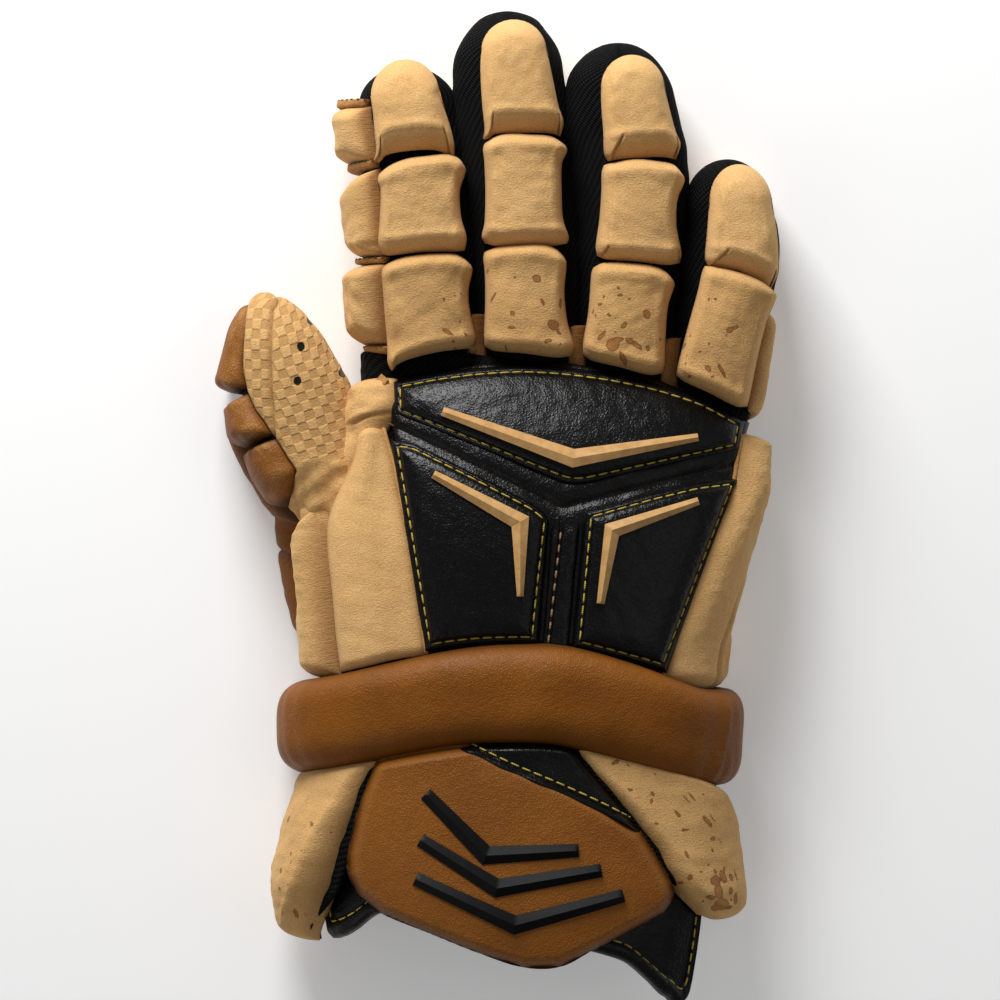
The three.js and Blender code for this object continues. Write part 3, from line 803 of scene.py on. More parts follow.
PAD_SUEDE = suede("pad suede", tone(228, 184, 124), tone(202, 156, 98))
SPECKLED = suede("speckled suede", tone(222, 177, 117), tone(196, 150, 92), spots=True)
CHECKED = suede("checked suede", tone(224, 180, 120), tone(200, 154, 96), checks=True)
RAW_EDGE = suede("raw edge", tone(198, 150, 94), tone(160, 112, 62))
# Each leather's deep, middle and pale colours; the pale one is a painted highlight, in places also wear.
BROWNS = tone(116, 65, 10), tone(146, 86, 16), tone(196, 142, 82)
BLACKS = tone(4, 4, 4), tone(8, 8, 8), tone(12, 12, 12)
BROWN = leather("brown leather", *BROWNS, 1.55, (0.42, 0.54), 0.12, 0.18)
BLACK = leather("black leather", *BLACKS, 1.3, (0.28, 0.38), 0.07, 0.24)
MESH = knit("black mesh")
TAN_MOULD = moulded("tan moulding", tone(203, 160, 104), tone(184, 141, 88), 0.42)
BLACK_MOULD = moulded("black moulding", tone(7, 7, 7), tone(4, 4, 4), 0.48)
YELLOW = thread("yellow thread", tone(222, 196, 56), tone(158, 130, 26))
TAN_THREAD = thread("tan thread", tone(176, 134, 84), tone(120, 84, 46))
DARK_THREAD = thread("dark thread", tone(96, 58, 28), tone(56, 32, 14))

# Stitches gathered from all over the glove, by their thread
yellow, tan_thread, dark_thread = Shape(), Shape(), Shape()


# Finger sleeves and undersides

AROUND = 96
ALL_ROUND = ((np.arange(AROUND) + 0.5) * 360 / AROUND)[None]


def stations_to_tip(tube, root, lift, count):
    """Stations from a root to a tube's rounded tip, evenly spaced as far as the rounding."""
    start = tube.tip - tube.cap
    along = np.linspace(root, start, count, endpoint=False)
    over = start + (tube.cap + lift) * np.sin(np.radians(np.linspace(0, 86, 16)))
    return np.concatenate([along, over])[:, None]


def tube_rings(tube, root, lift, step):
    """Stations from a root to a tube's rounded tip, and the rings at them."""
    y = stations_to_tip(tube, root, lift, max(int((tube.tip - tube.cap - root) / step), 2))
    return y, tube.point(y, ALL_ROUND, lift)


def ring_flat(rings):
    """The flat coordinate of rings: half way round to both sides, and the station."""
    closed = np.concatenate([rings, rings[:, :1]], 1)
    u = lengths(closed, 1)[:, :-1]
    v = rings[:, :, 1]
    return np.stack([u - u.max(axis=1, keepdims=True) / 2, v, np.zeros_like(v)], -1)


def hollow(inner, outer, closed=False):
    """A wall between inner and outer rings, joined at the far end, and at the near end if closed."""
    shape = Shape()
    flats = np.concatenate([ring_flat(inner)[::-1], ring_flat(outer)])
    shape.lathe(np.concatenate([inner[::-1], outer]), flats, closed)
    return shape


def add_sleeve(name, tube, root, seed):
    """A finger's knitted sleeve, rippled and folded along its flanks."""
    y, outer = tube_rings(tube, root, 0, 1.8)
    _, inner = tube_rings(tube, root, -SLEEVE_WALL, 6)
    away = outer - outer.mean(axis=1, keepdims=True)
    away /= np.maximum(np.linalg.norm(away, axis=-1, keepdims=True), 1e-6)
    folds = np.sin(y * 0.42 + wobble(outer, 30, seed) * 2) * bell(np.abs(ALL_ROUND - 180) - 92, 26)
    ripple = 0.28 * wobble(outer, 12, seed + 1) + 0.22 * folds
    end = ramp((y - root) / 8)
    flank = np.abs(np.sin(np.radians(ALL_ROUND))) ** 6 * end * (1 - ramp((y - tube.tip + 26) / 16))
    outer = outer + away * (0.9 * ripple * end + 2.1 * flank)[..., None]
    outer[..., 2] = np.maximum(outer[..., 2], REST)
    make(f"{name}_knit", hollow(inner, outer), MESH, f"{name}_sleeve")


# Where each finger's underside creases, as shares of its length
JOINTS = {"index": (0.36, 0.68), "middle": (0.36, 0.68), "ring": (0.36, 0.68), "pinky": (0.4, 0.72)}


def add_underside(name, tube, root, seed):
    """The suede under a finger: checked between its seams, and creased at the joints."""
    far = tube.tip - 1.2
    rows, columns = 90, 45
    q = np.linspace(0, 1, rows)[:, None]
    station = root + 0.3 + (far - root - 0.3) * q
    half = 180 - FINGER_SPLIT
    close = np.sqrt(np.clip(1 - unit((station - (tube.tip - 9)) / 10) ** 2, 0.02, 1))
    angle = 180 + half * close * np.linspace(-1, 1, columns)[None, :]
    patch = Patch(tube, station, angle, SEAM, SEAM + SUEDE)
    reach = patch.near[:, columns // 2][:, None]
    total = reach[-1, 0]
    crease = sum(bell(reach - total * share, 1.6) for share in JOINTS[name])
    edge = np.minimum(patch.left, patch.right)
    seam_line = bell(edge - 2.2, 0.6)
    noise = 0.14 * wobble(patch.grid, 9, seed)
    patch.height = SUEDE - 0.2 + noise - 0.55 * seam_line - 0.45 * crease
    patch.height *= edge_round(np.minimum(edge, patch.far) + 0.3, 1.2)
    patch.height = np.clip(patch.height, 0.25, SUEDE)
    inside = ramp((edge - 3.4) / 0.8) * ramp(reach - 6) * ramp(total - 7 - reach) * (1 - unit(crease))
    # Painted shade in the joint creases and along the seams.
    painted_light_and_wear = unit(0.5 * crease + 0.6 * seam_line)
    cover(f"{name}_underside", patch, CHECKED, "palm_suede", f"{name}_palm", checked=inside, crease=painted_light_and_wear)


# Finger pads

# Outlines in plan: left and right run from the low end, and low and far from left to right, without ends.
# dome rounds a tip pad's far end out, and bevel is the length of a pad's lower face.
# creases: how far in from each side a corner fold starts at the ridge, and where it ends at the low edge.
FINGER_PADS = {
    "index_tip_pad": dict(
        left=((-42.4, 113.6), (-41.6, 117), (-42.2, 124), (-42.6, 129.5), (-43.4, 135.2)),
        right=((-15.3, 114.9), (-15.4, 120), (-17.6, 128.2), (-20.2, 135.4)),
        low=((-40.6, 113.2), (-38, 115.6), (-30, 117), (-22, 117.2), (-18, 116)),
        dome=12.9, bevel=7.4, creases=((2.4, 1.0), (4.2, 1.3)),
    ),
    "index_mid_pad": dict(
        left=((-40.4, 82.6), (-41.1, 86), (-40.4, 94), (-40.1, 104), (-41, 107), (-40.7, 109.4)),
        right=((-11.8, 83.8), (-11.2, 88), (-13, 95), (-13.4, 104), (-11.4, 110.6), (-12, 112.4)),
        low=((-37, 82), (-26, 83), (-15, 83.3)),
        far=((-36.4, 112.4), (-31, 114.4), (-24, 115.4), (-17.6, 116), (-14, 114.8)),
        bevel=4.6,
    ),
    "index_base_pad": dict(
        left=((-38, 46.6), (-37.9, 51), (-38.8, 60), (-39.5, 70), (-39.9, 76), (-39.6, 78.2)),
        right=((-8.4, 51.6), (-8.2, 54.6), (-9.8, 62), (-10.6, 70), (-9.2, 77.2), (-9.8, 79)),
        low=((-37.2, 44.6), (-36.2, 43.4), (-34.6, 45.4), (-30, 47.4), (-20, 49.8), (-11, 50.9)),
        far=((-35, 80.6), (-29, 82), (-21, 82.6), (-15, 82.4), (-12, 81)),
        bevel=2.8,
    ),
    "middle_tip_pad": dict(
        left=((-5.8, 120.9), (-5.2, 124), (-6, 133), (-6.6, 144.3), (-6.3, 150.5)),
        right=((20.3, 122), (21.3, 127), (19.7, 131.9), (18.4, 138), (16.8, 145.9), (15.6, 150.5)),
        low=((-4, 121), (-1.6, 122.6), (8, 122.9), (17, 122.9)),
        dome=10.8, bevel=6.6, creases=((3.8, 1.6), (1.9, 1.0)),
    ),
    "middle_mid_pad": dict(
        left=((-5.2, 86.2), (-6.1, 88.4), (-5.2, 93), (-4.9, 103), (-5.3, 114), (-5.7, 117.4), (-5.3, 119.4)),
        right=((22.5, 86), (23.1, 88), (21.2, 94), (20.7, 103), (20.8, 113), (22.6, 117.4), (21.6, 119.6)),
        low=((-1, 85), (8, 84.9), (18, 85.3)),
        far=((-2, 121.6), (2.4, 122.7), (10, 122.5), (17, 122)),
        bevel=4.4,
    ),
    "middle_base_pad": dict(
        left=((-5.2, 51.6), (-5.4, 56), (-5, 66), (-5.1, 76), (-5.6, 81.2), (-5.3, 83.2)),
        right=((24.4, 48.4), (24.8, 52), (22.6, 60), (21.6, 70), (22.3, 79.2), (21.6, 81.6)),
        low=((-2, 50.1), (8, 49.2), (19, 47.8)),
        far=((-1, 84.8), (5, 85.6), (14, 85.8), (18.4, 84.4)),
        bevel=3.0,
    ),
    "ring_tip_pad": dict(
        left=((36.1, 113.5), (34.9, 116), (34.6, 123.3), (34, 131), (33.8, 138)),
        right=((59, 114.3), (60.6, 119.4), (59, 123.6), (57, 131), (55.4, 137.6)),
        low=((41, 114.2), (48, 114.7), (55, 114.9)),
        dome=11.6, bevel=7.4, creases=((7.0, 1.2), (1.3, 0.8)),
    ),
    "ring_mid_pad": dict(
        left=((32.6, 81.8), (32.1, 85), (33.3, 94), (34, 104), (34.1, 110), (34.8, 112.2)),
        right=((60.4, 79.6), (60.9, 83), (59.2, 92), (59.6, 101), (62, 107.3), (60.4, 110.6)),
        low=((36, 80.6), (46, 79.8), (56, 78.8)),
        far=((37.4, 113), (45.5, 114.2), (53, 113.6), (58, 112.6)),
        bevel=3.8, creases=((4.4, 1.2), (1.2, 0.8)),
    ),
    "ring_base_pad": dict(
        left=((27.8, 48.8), (27.9, 53), (29.6, 63), (30.4, 73), (30.7, 76.4), (31.3, 78)),
        right=((54.8, 42.6), (55.4, 46.6), (55.6, 55), (56.4, 65), (58.6, 72.2), (58.2, 74)),
        low=((31, 46.8), (40, 44.6), (50, 42)),
        far=((35, 79.6), (44, 79.4), (51.6, 78.4), (55.6, 76.6)),
        bevel=3.0,
    ),
    "pinky_tip_pad": dict(
        left=((69.6, 78.6), (68.7, 81), (69.3, 89), (70.2, 100)),
        right=((91, 70.9), (93.3, 76.8), (93, 90), (91.4, 98.6)),
        low=((73.6, 77.6), (79.4, 76.8), (83.7, 74.8), (88.6, 72)),
        dome=13.4, bevel=6.0, creases=((7.6, 0.9), (1.4, 0.8)),
    ),
    "pinky_base_pad": dict(
        left=((59.2, 41.8), (59.9, 46), (63, 58), (66.3, 70), (67.8, 76.6), (68.6, 78.4)),
        right=((83.2, 31.4), (84.1, 35.6), (86.6, 48), (89.6, 60), (93, 68), (92, 70.4)),
        low=((62, 39.7), (70, 36), (79.4, 31.4)),
        far=((72, 78.4), (80, 76.4), (87, 73.8)),
        bevel=3.0,
    ),
}

# Brown splashes printed on the base pads and cuff flaps: x, y, half length, half width and turn in degrees.
SPLASHES = {
    "index_base_pad": (
        (-18.7, 67.1, 0.8, 0.5, -70), (-15.1, 68.2, 0.6, 0.35, -60), (-13.1, 68.9, 0.6, 0.3, -60),
        (-13.3, 59.6, 0.6, 0.35, -50), (-17.7, 56.3, 2.4, 0.8, -32), (-11.5, 55.5, 0.8, 0.5, -60),
        (-15.6, 53.0, 0.6, 0.5, 0), (-15.0, 50.5, 0.8, 0.6, 0), (-16.1, 49.8, 0.4, 0.3, 0),
    ),
    "middle_base_pad": (
        (5.1, 74.4, 0.5, 0.4, 0), (12.3, 74.0, 1.6, 1.3, -20), (15.8, 73.0, 0.3, 0.25, 0),
        (-2.3, 67.8, 1.7, 0.45, 62), (14.3, 66.2, 1.6, 0.6, -62), (20.2, 65.8, 1.8, 0.5, 85),
        (4.2, 62.4, 1.0, 0.8, -40), (-3.4, 60.4, 0.4, 0.3, 0), (9.0, 60.4, 0.5, 0.25, 0),
        (3.9, 57.6, 1.6, 0.5, -3), (17.8, 58.5, 2.0, 1.7, -30), (19.5, 56.3, 1.5, 0.6, -48),
        (16.0, 53.1, 1.4, 0.75, 10), (2.1, 50.8, 1.3, 0.45, -70), (20.1, 52.1, 0.7, 0.35, 80),
        (-4.2, 76.6, 0.8, 0.4, 80), (13.2, 50.2, 0.4, 0.3, 0),
    ),
    "ring_base_pad": (
        (39.6, 70.9, 0.7, 0.5, -40), (40.1, 68.4, 0.95, 0.6, 10), (43.2, 67.1, 0.55, 0.5, 0),
        (34.7, 67.8, 0.7, 0.35, 75), (33.5, 65.5, 0.8, 0.55, 20), (31.1, 63.0, 0.8, 0.3, 80),
        (32.0, 61.6, 0.75, 0.4, -75), (36.4, 61.9, 1.0, 0.5, -45), (38.7, 60.9, 0.35, 0.3, 0),
        (49.1, 62.1, 1.7, 1.3, -70), (41.4, 58.4, 1.4, 0.85, 60), (33.2, 58.7, 0.4, 0.3, 0),
        (38.5, 56.1, 0.6, 0.5, 0), (46.5, 55.2, 0.3, 0.25, 0), (50.3, 54.2, 0.3, 0.25, 0),
        (34.0, 55.0, 2.2, 0.8, 50), (37.7, 51.9, 2.3, 2.2, 0), (39.6, 53.7, 1.9, 0.9, -5),
        (43.3, 53.2, 1.5, 1.1, -10), (45.6, 51.8, 2.4, 0.9, -38), (49.4, 50.8, 1.1, 0.7, -70),
        (41.2, 47.3, 2.7, 1.0, -65), (53.7, 53.8, 0.5, 0.4, 60), (53.9, 61.8, 0.3, 0.25, 0),
    ),
    "pinky_base_pad": (
        (69.8, 66.9, 0.6, 0.4, 70), (71.9, 67.1, 0.8, 0.5, 0), (76.8, 56.8, 1.3, 1.1, 20),
        (78.6, 57.6, 1.2, 0.7, 20), (75.6, 54.9, 0.6, 0.4, 80), (63.6, 55.0, 0.6, 0.3, 60),
        (61.6, 51.5, 1.3, 0.5, 62), (69.8, 52.2, 0.5, 0.35, 60), (66.8, 49.5, 0.65, 0.45, 0),
        (62.5, 48.4, 0.35, 0.3, 0), (62.1, 45.6, 0.5, 0.35, 60), (69.5, 44.0, 1.6, 0.9, -48),
        (74.0, 43.5, 3.0, 0.7, -60), (71.1, 41.3, 0.7, 0.4, 30), (63.3, 41.3, 0.6, 0.5, 0),
    ),
    "cuff_flap_left": (
        (-62.7, -108.0, 1.0, 0.65, -60), (-64.9, -108.6, 0.5, 0.3, 40), (-56.4, -110.8, 0.7, 0.3, 10),
        (-70.9, -107.1, 1.4, 0.4, 70), (-69.6, -109.0, 0.4, 0.3, 60), (-69.8, -118.0, 0.9, 0.4, 80),
        (-66.3, -116.9, 0.4, 0.3, 60), (-69.8, -120.8, 0.7, 0.3, 80), (-62.8, -121.4, 0.6, 0.4, -45),
        (-73.3, -123.9, 1.1, 0.4, 80), (-70.9, -128.3, 0.4, 0.3, 0), (-73.7, -129.8, 0.8, 0.4, -65),
        (-68.2, -138.2, 2.0, 0.8, -70), (-72.9, -137.9, 1.1, 0.3, 85), (-64.9, -138.5, 0.7, 0.5, -20),
    ),
    "cuff_flap_right": (
        (38.4, -87.0, 1.6, 0.75, 25), (42.5, -87.9, 0.8, 0.4, -40), (51.5, -91.1, 0.6, 0.3, -45),
        (43.3, -96.2, 0.9, 0.7, 0), (43.2, -100.7, 0.5, 0.3, 60), (50.6, -97.5, 1.1, 0.6, -55),
        (50.3, -100.1, 1.1, 0.6, 65), (55.1, -98.9, 0.4, 0.25, -50), (55.9, -101.7, 0.35, 0.25, 0),
        (58.9, -104.2, 1.7, 0.5, -52), (59.6, -105.0, 0.8, 0.65, 0), (52.1, -107.5, 0.9, 0.5, 0),
        (61.5, -109.8, 1.4, 0.6, 0), (61.7, -99.2, 2.1, 0.3, -48), (64.0, -98.9, 2.2, 0.4, -52),
        (67.6, -98.0, 0.5, 0.4, 0), (69.1, -107.1, 2.5, 0.8, -50), (70.6, -105.7, 2.1, 0.35, -55),
        (71.0, -113.0, 0.95, 0.85, 0), (73.5, -113.9, 0.9, 0.3, -60), (70.8, -116.8, 0.8, 0.4, -65),
        (62.2, -117.9, 1.5, 0.55, -62), (69.3, -121.6, 0.6, 0.5, 0), (67.0, -123.8, 0.65, 0.5, 0),
        (68.4, -124.7, 0.35, 0.3, 0), (71.7, -123.8, 1.0, 0.5, -60), (74.4, -125.6, 2.5, 1.1, -65),
        (74.8, -123.3, 1.1, 0.5, 75), (77.2, -126.1, 1.4, 0.7, -70), (78.8, -125.3, 1.9, 0.35, -75),
        (63.2, -125.5, 1.1, 0.9, 60), (59.9, -127.3, 1.2, 0.6, -5), (71.8, -126.9, 1.8, 1.7, 0),
        (72.9, -130.6, 2.7, 1.5, -80), (70.4, -132.3, 1.9, 0.8, -5), (73.9, -134.8, 2.6, 2.0, 0),
        (71.8, -136.0, 1.6, 1.2, 20), (76.5, -136.0, 1.2, 0.6, 30), (77.0, -130.4, 1.5, 0.7, 85),
        (78.8, -133.2, 2.0, 0.7, 85), (67.6, -133.6, 0.7, 0.4, 45), (77.2, -133.6, 0.5, 0.35, 70),
    ),
}


def splash_distance(points, rows):
    """Distance in plan to the nearest splash's edge, below zero inside it."""
    found = np.full(points.shape[:-1], 5.0)
    for x, y, a, b, turn in rows:
        c, s = math.cos(math.radians(turn)), math.sin(math.radians(turn))
        dx, dy = points[..., 0] - x, points[..., 1] - y
        u, v = (dx * c + dy * s) / a, (-dx * s + dy * c) / b
        found = np.minimum(found, (np.sqrt(u * u + v * v) - 1) * min(a, b) * 1.15)
    return found


DOME_POINTS = 13


def dome_line(a, b, height):
    """Points of a half ellipse from a to b, without its ends."""
    a, b = np.array(a, float), np.array(b, float)
    turn = np.linspace(0, math.pi, DOME_POINTS)[1:-1, None]
    return (a + b) / 2 - (b - a) / 2 * np.cos(turn) + np.array([0, height]) * np.sin(turn)


def corner_folds(pad, patch, side, slope, face):
    """A pad's low end with a fold at each corner: its height, and how deep the folds are."""
    (left_top, left_low), (right_top, right_low) = pad["creases"]
    on_left = patch.left < patch.right
    top_in = np.where(on_left, left_top, right_top)
    low_in = np.where(on_left, left_low, right_low)
    line = low_in + (top_in - low_in) * slope
    ear = ramp((line - side) / 1.1 + 0.5)
    hang = edge_round(patch.near + 0.1, 2.2) ** 0.7
    end = face * (1 - ear) + np.maximum(hang * (0.94 - 0.1 * (1 - slope)), face * 0.2) * ear
    depth = ramp(slope / 0.3) * 0.5 + 0.5
    return end, bell(side - line, 0.36) * depth * (1 - ramp((patch.near - pad["bevel"] * 0.96) / 1.5))


def tip_shoulder(plan, outline, start):
    """How a tip pad rounds down to its outline, more and more towards the fingertip."""
    rim = distance_to(plan, curve(outline, np.linspace(0, 1, 240)))
    return edge_round(rim + 0.1, 4.2 + 3.6 * ramp((plan[..., 1] - start + 4) / 14)) ** 0.8


def pad_shoulder(patch, side):
    """How a pad rounds down to its sides and its far end."""
    shoulder = edge_round(side + 0.1, 4.2) ** 0.8 * edge_round(patch.far + 0.05, 3.8) ** 0.8
    return shoulder * (1 + 0.05 * bell(patch.far - 4.2, 2.2))


def add_finger_pad(name, pad, seed):
    """A foam block on a finger's back: a bevelled low face, round shoulders and a soft crown."""
    tip = "dome" in pad
    left, right = pad["left"], pad["right"]
    far = dome_line(left[-1], right[-1], pad["dome"]) if tip else pad["far"]
    plan = bounded(left, right, pad["low"], far, 96, 68)
    patch = on_tube(fingers[name.split("_")[0]], plan, 1.2 if tip else ON_TUBE, ON_TUBE + FINGER_PAD * 0.6)
    side = np.minimum(patch.left, patch.right)
    v, bevel = patch.near, pad["bevel"]
    slope = unit(v / bevel)
    low_height = 0.3 if tip else 0.42
    face = low_height + (1 - low_height) * slope**0.85 - 0.06 * bell(v - bevel, 1.3)
    if "creases" in pad:
        end, crease = corner_folds(pad, patch, side, slope, face)
    else:
        end, crease = face * edge_round(v + 0.4, 1.4), 0.0
    if tip:
        shoulder = tip_shoulder(plan, (*left, *far, *right[::-1]), left[-1][1])
    else:
        shoulder = pad_shoulder(patch, side)
    crown = 0.9 + 0.1 * np.sin(math.pi * unit(patch.left / patch.width))
    ridge = 0.05 * bell(v - bevel - 0.8, 1.6)
    dimple = 0.05 * bell(side - 5.5, 3) * bell(v - bevel - 5, 4)
    dimple = dimple + 0.05 * bell(side - 5, 3) * bell(patch.far - 9, 4)
    uneven = 0.022 * wobble(patch.grid, 15, seed) + 0.008 * wobble(patch.grid, 4.5, seed + 1)
    height = shoulder * crown * end * (1 + uneven + ridge - dimple) - 1.3 * crease / FINGER_PAD
    patch.height = np.clip(FINGER_PAD * height, 0.4, FINGER_PAD + 0.6)
    # Painted shade on the low face, which turns away from the light, in the corner folds and down the sides.
    shaded = (1 - slope) ** 1.5 * (0.75 if tip else 0.55)
    masks = {"crease": unit(crease + shaded + 0.5 * bell(side, 0.5))}
    finish, slot = PAD_SUEDE, "pad_suede"
    if name in SPLASHES:
        masks["spot"] = splash_distance(patch.top(), SPLASHES[name])
        finish, slot = SPECKLED, "speckled_suede"
    cover(f"{name}_cover", patch, finish, slot, name, 0.8, **masks)


# Rolls on the fingers' flanks

# Each roll's lower and upper edges, as stations from its outer side to the finger pads, and its thickness
INDEX_ROLLS = (
    ("index_side_roll_tip", (111.4, 112.6, 113.4), (131.4, 132.2, 132), SIDE_ROLL),
    ("index_side_roll_mid", (81, 81.2, 81.8), (102.6, 105, 108.8, 111.4), SIDE_ROLL),
    ("index_side_roll_base", (47.4, 48.6, 50.4), (77.4, 78.8, 79), SIDE_ROLL + 2.2),
)
# The sewn tabs between them: stations of each tab's middle at both ends, and its width
INDEX_TABS = (((132.4, 133), 2.2), ((110.6, 112.8), 2.4), ((79.6, 80.4), 2.2), ((46.4, 48.2), 2.6))
ROLL_FROM, ROLL_TO = -108, -40


def soft_roll(patch, thick, sides, ends, seed, uneven=0.03):
    """Height over a roll: rounded from its sides and its ends, each with its own radius."""
    height = edge_round(patch.left + 0.05, sides[0]) * edge_round(patch.right + 0.05, sides[1])
    height = height * edge_round(patch.near + 0.05, ends[0]) * edge_round(patch.far + 0.05, ends[1])
    noise = 1 + uneven * wobble(patch.grid, 14, seed) + uneven * 0.4 * wobble(patch.grid, 5, seed + 1)
    patch.height = np.clip(thick * height * noise, 0.4, thick * 1.05)


def add_index_rolls():
    """The three foam rolls on the index finger's outer flank, pinched at their low ends."""
    for k, (name, near, far, thick) in enumerate(INDEX_ROLLS):
        across = (ROLL_FROM,) * 2, (ROLL_TO,) * 2
        patch = round_tube(fingers["index"], near, far, *across, 64, 64, ON_TUBE, 5)
        soft_roll(patch, thick, (9, 5), (5.5, 5.5), 40 + 3 * k, 0.04)
        pinch = 0.9 * bell(patch.near - 3.4, 1.6) * wobble(patch.grid, 8, 45 + k) ** 2
        patch.height = np.clip(patch.height - pinch, 0.4, None)
        # Painted shade along the roll's edges, most along its right one.
        painted_light_and_wear = unit(bell(patch.edge(), 0.9) * 0.7 + 0.5 * bell(patch.right, 1.6))
        cover(f"{name}_cover", patch, PAD_SUEDE, "pad_suede", name, 0.8, crease=painted_light_and_wear)


def add_index_tabs():
    """The narrow stitched tabs between the rolls."""
    tabs = Shape()
    for k, (middle, wide) in enumerate(INDEX_TABS):
        near = [y - wide / 2 for y in middle]
        far = [y + wide / 2 for y in middle]
        patch = round_tube(fingers["index"], near, far, (-100, -102), (-43, -40), 16, 44, ON_TUBE, 5)
        along = np.maximum(np.sin(math.pi * patch.left / patch.width), 0)
        patch.height = 2.2 + 4.6 * along**0.5 + 0.5 * wobble(patch.grid, 5, 60 + k)
        patch.height = patch.height * (0.8 + 0.2 * edge_round(np.minimum(patch.near, patch.far), 0.8))
        # Painted shade along the tabs' edges.
        patch.into(tabs, crease=0.4 * bell(patch.edge(), 0.6))
        stitch_line(dark_thread, patch.sample(*patch.line("far", 0.2).T, 0), 1.3, 1.1, 0.28)
    make("index_side_tabs", tabs, RAW_EDGE)


def add_index_root_side():
    """The black knitted side under the index finger's base."""
    patch = round_tube(fingers["index"], (33, 33), (48, 48), (-112, -112), (-48, -48), 40, 40, ON_TUBE, 5)
    soft_roll(patch, 7.5, (7, 7), (4, 3), 66)
    cover("index_root_side", patch, MESH, "black_mesh")


def add_pinky_roll():
    """The foam roll on the little finger's outer flank."""
    patch = round_tube(fingers["pinky"], (32, 29), (63, 63), (66, 70), (112, 112), 56, 40, ON_TUBE, 3)
    soft_roll(patch, 5, (6, 6), (8, 8), 70)
    # Painted shade along the roll's edges.
    painted_light_and_wear = bell(patch.edge(), 0.8) * 0.6
    cover("pinky_side_roll_cover", patch, PAD_SUEDE, "pad_suede", "pinky_side_roll", 0.8, crease=painted_light_and_wear)


# The finger on whose near flank each suede strip lies, and the strip's stations
FOURCHETTES = (("middle", 43, 61), ("ring", 41, 58), ("pinky", 36, 54))


def add_fourchettes():
    """Narrow suede strips between the roots of the fingers, each folded and stitched along its middle."""
    strips = Shape()
    for name, near, far in FOURCHETTES:
        stations = (near, near - 1), (far, far)
        patch = round_tube(fingers[name], *stations, (-92, -92), (-56, -54), 50, 24, 0, 3)
        sides = edge_round(np.minimum(patch.left, patch.right) + 0.2, 2.4)
        fold = bell(patch.left - patch.width / 2, 0.5)
        patch.height = 5.2 * sides * edge_round(patch.edge() + 0.3, 1.5) - 0.8 * fold + 0.2
        # Painted shade along the strips' edges and in their middle fold.
        patch.into(strips, crease=unit(bell(patch.edge(), 0.7) + fold))
        rows, columns = patch.station.shape
        row = np.linspace(3, rows - 4, 40)
        stitch_line(dark_thread, patch.sample(row, np.full(40, (columns - 1) / 2), 0.1), 1.8, 0.9, 0.3)
    make("finger_strips", strips, RAW_EDGE)


# Back of the hand

# The band's middle line: angles around the hand, and stations
BAND_ANGLES = np.array((-130, -90, -58, -36, -11, 3, 10.5, 27, 44, 58, 73, 90, 130), float)
BAND_STATIONS = np.array(
    (-76.2, -76.2, -74.2, -70.2, -65.2, -64.5, -65.6, -70.8, -76, -79, -79.6, -79.4, -79.4)
)


BAND_GAP, BAND_LAP, BAND_POINTS = 0.8, 0.7, 9


def band_middle(angle):
    """Stations of the band's middle line."""
    return table(BAND_ANGLES, BAND_STATIONS, angle)


def above_band(angle):
    """Stations of the line just past the band's upper edge."""
    return band_middle(angle) + BAND_HALF + BAND_GAP


def along_band(start, end):
    """The plan line above the band from one x to another."""
    x = np.linspace(start, end, BAND_POINTS)
    _, angle = hand.locate(x, np.full(BAND_POINTS, -60.0), BAND)
    return np.stack([x, above_band(angle)], -1)


# Each panel's lower and upper edges in plan, and its grid's columns and rows
PANELS = {
    "knuckle_panel": (
        ((-35.4, 28.6), (24.2, 3.9), (80.4, 16.6)),
        (
            (-36.2, 39.8), (-21.5, 42.7), (-6.7, 44.6), (8.2, 45.4), (23.1, 44.5), (37.9, 42.5),
            (52.8, 39.2), (67.6, 34.5), (82.4, 26.4),
        ),
        (160, 66),
    ),
    "left_back_panel": (
        along_band(-25.4, 13.2),
        ((-37.2, 20.6), (-30, 20), (-10, 10.2), (10.4, -0.2), (15.2, -4), (16.4, -6.6)),
        (76, 106),
    ),
    "right_back_panel": (
        along_band(23.6, 55.6),
        ((28, -3.6), (34.4, -2), (51, 2.6), (66.8, 6.3), (80.6, 7.9)),
        (76, 106),
    ),
}
BACK_GROOVE = ((-38, 26), (20.6, -2.6), (81, 12.6))
STITCH_INSET = 2.7
ROUNDED_POINTS, ROUNDED_PASSES = 61, 5


def corner_rounded(line):
    """A kinked line with its turns softened."""
    line = resample(line, np.linspace(0, 1, ROUNDED_POINTS))
    ends = line[[0, -1]].copy()
    for _ in range(ROUNDED_PASSES):
        line[1:-1] = (line[:-2] + 2 * line[1:-1] + line[2:]) / 4
    line[[0, -1]] = ends
    return line


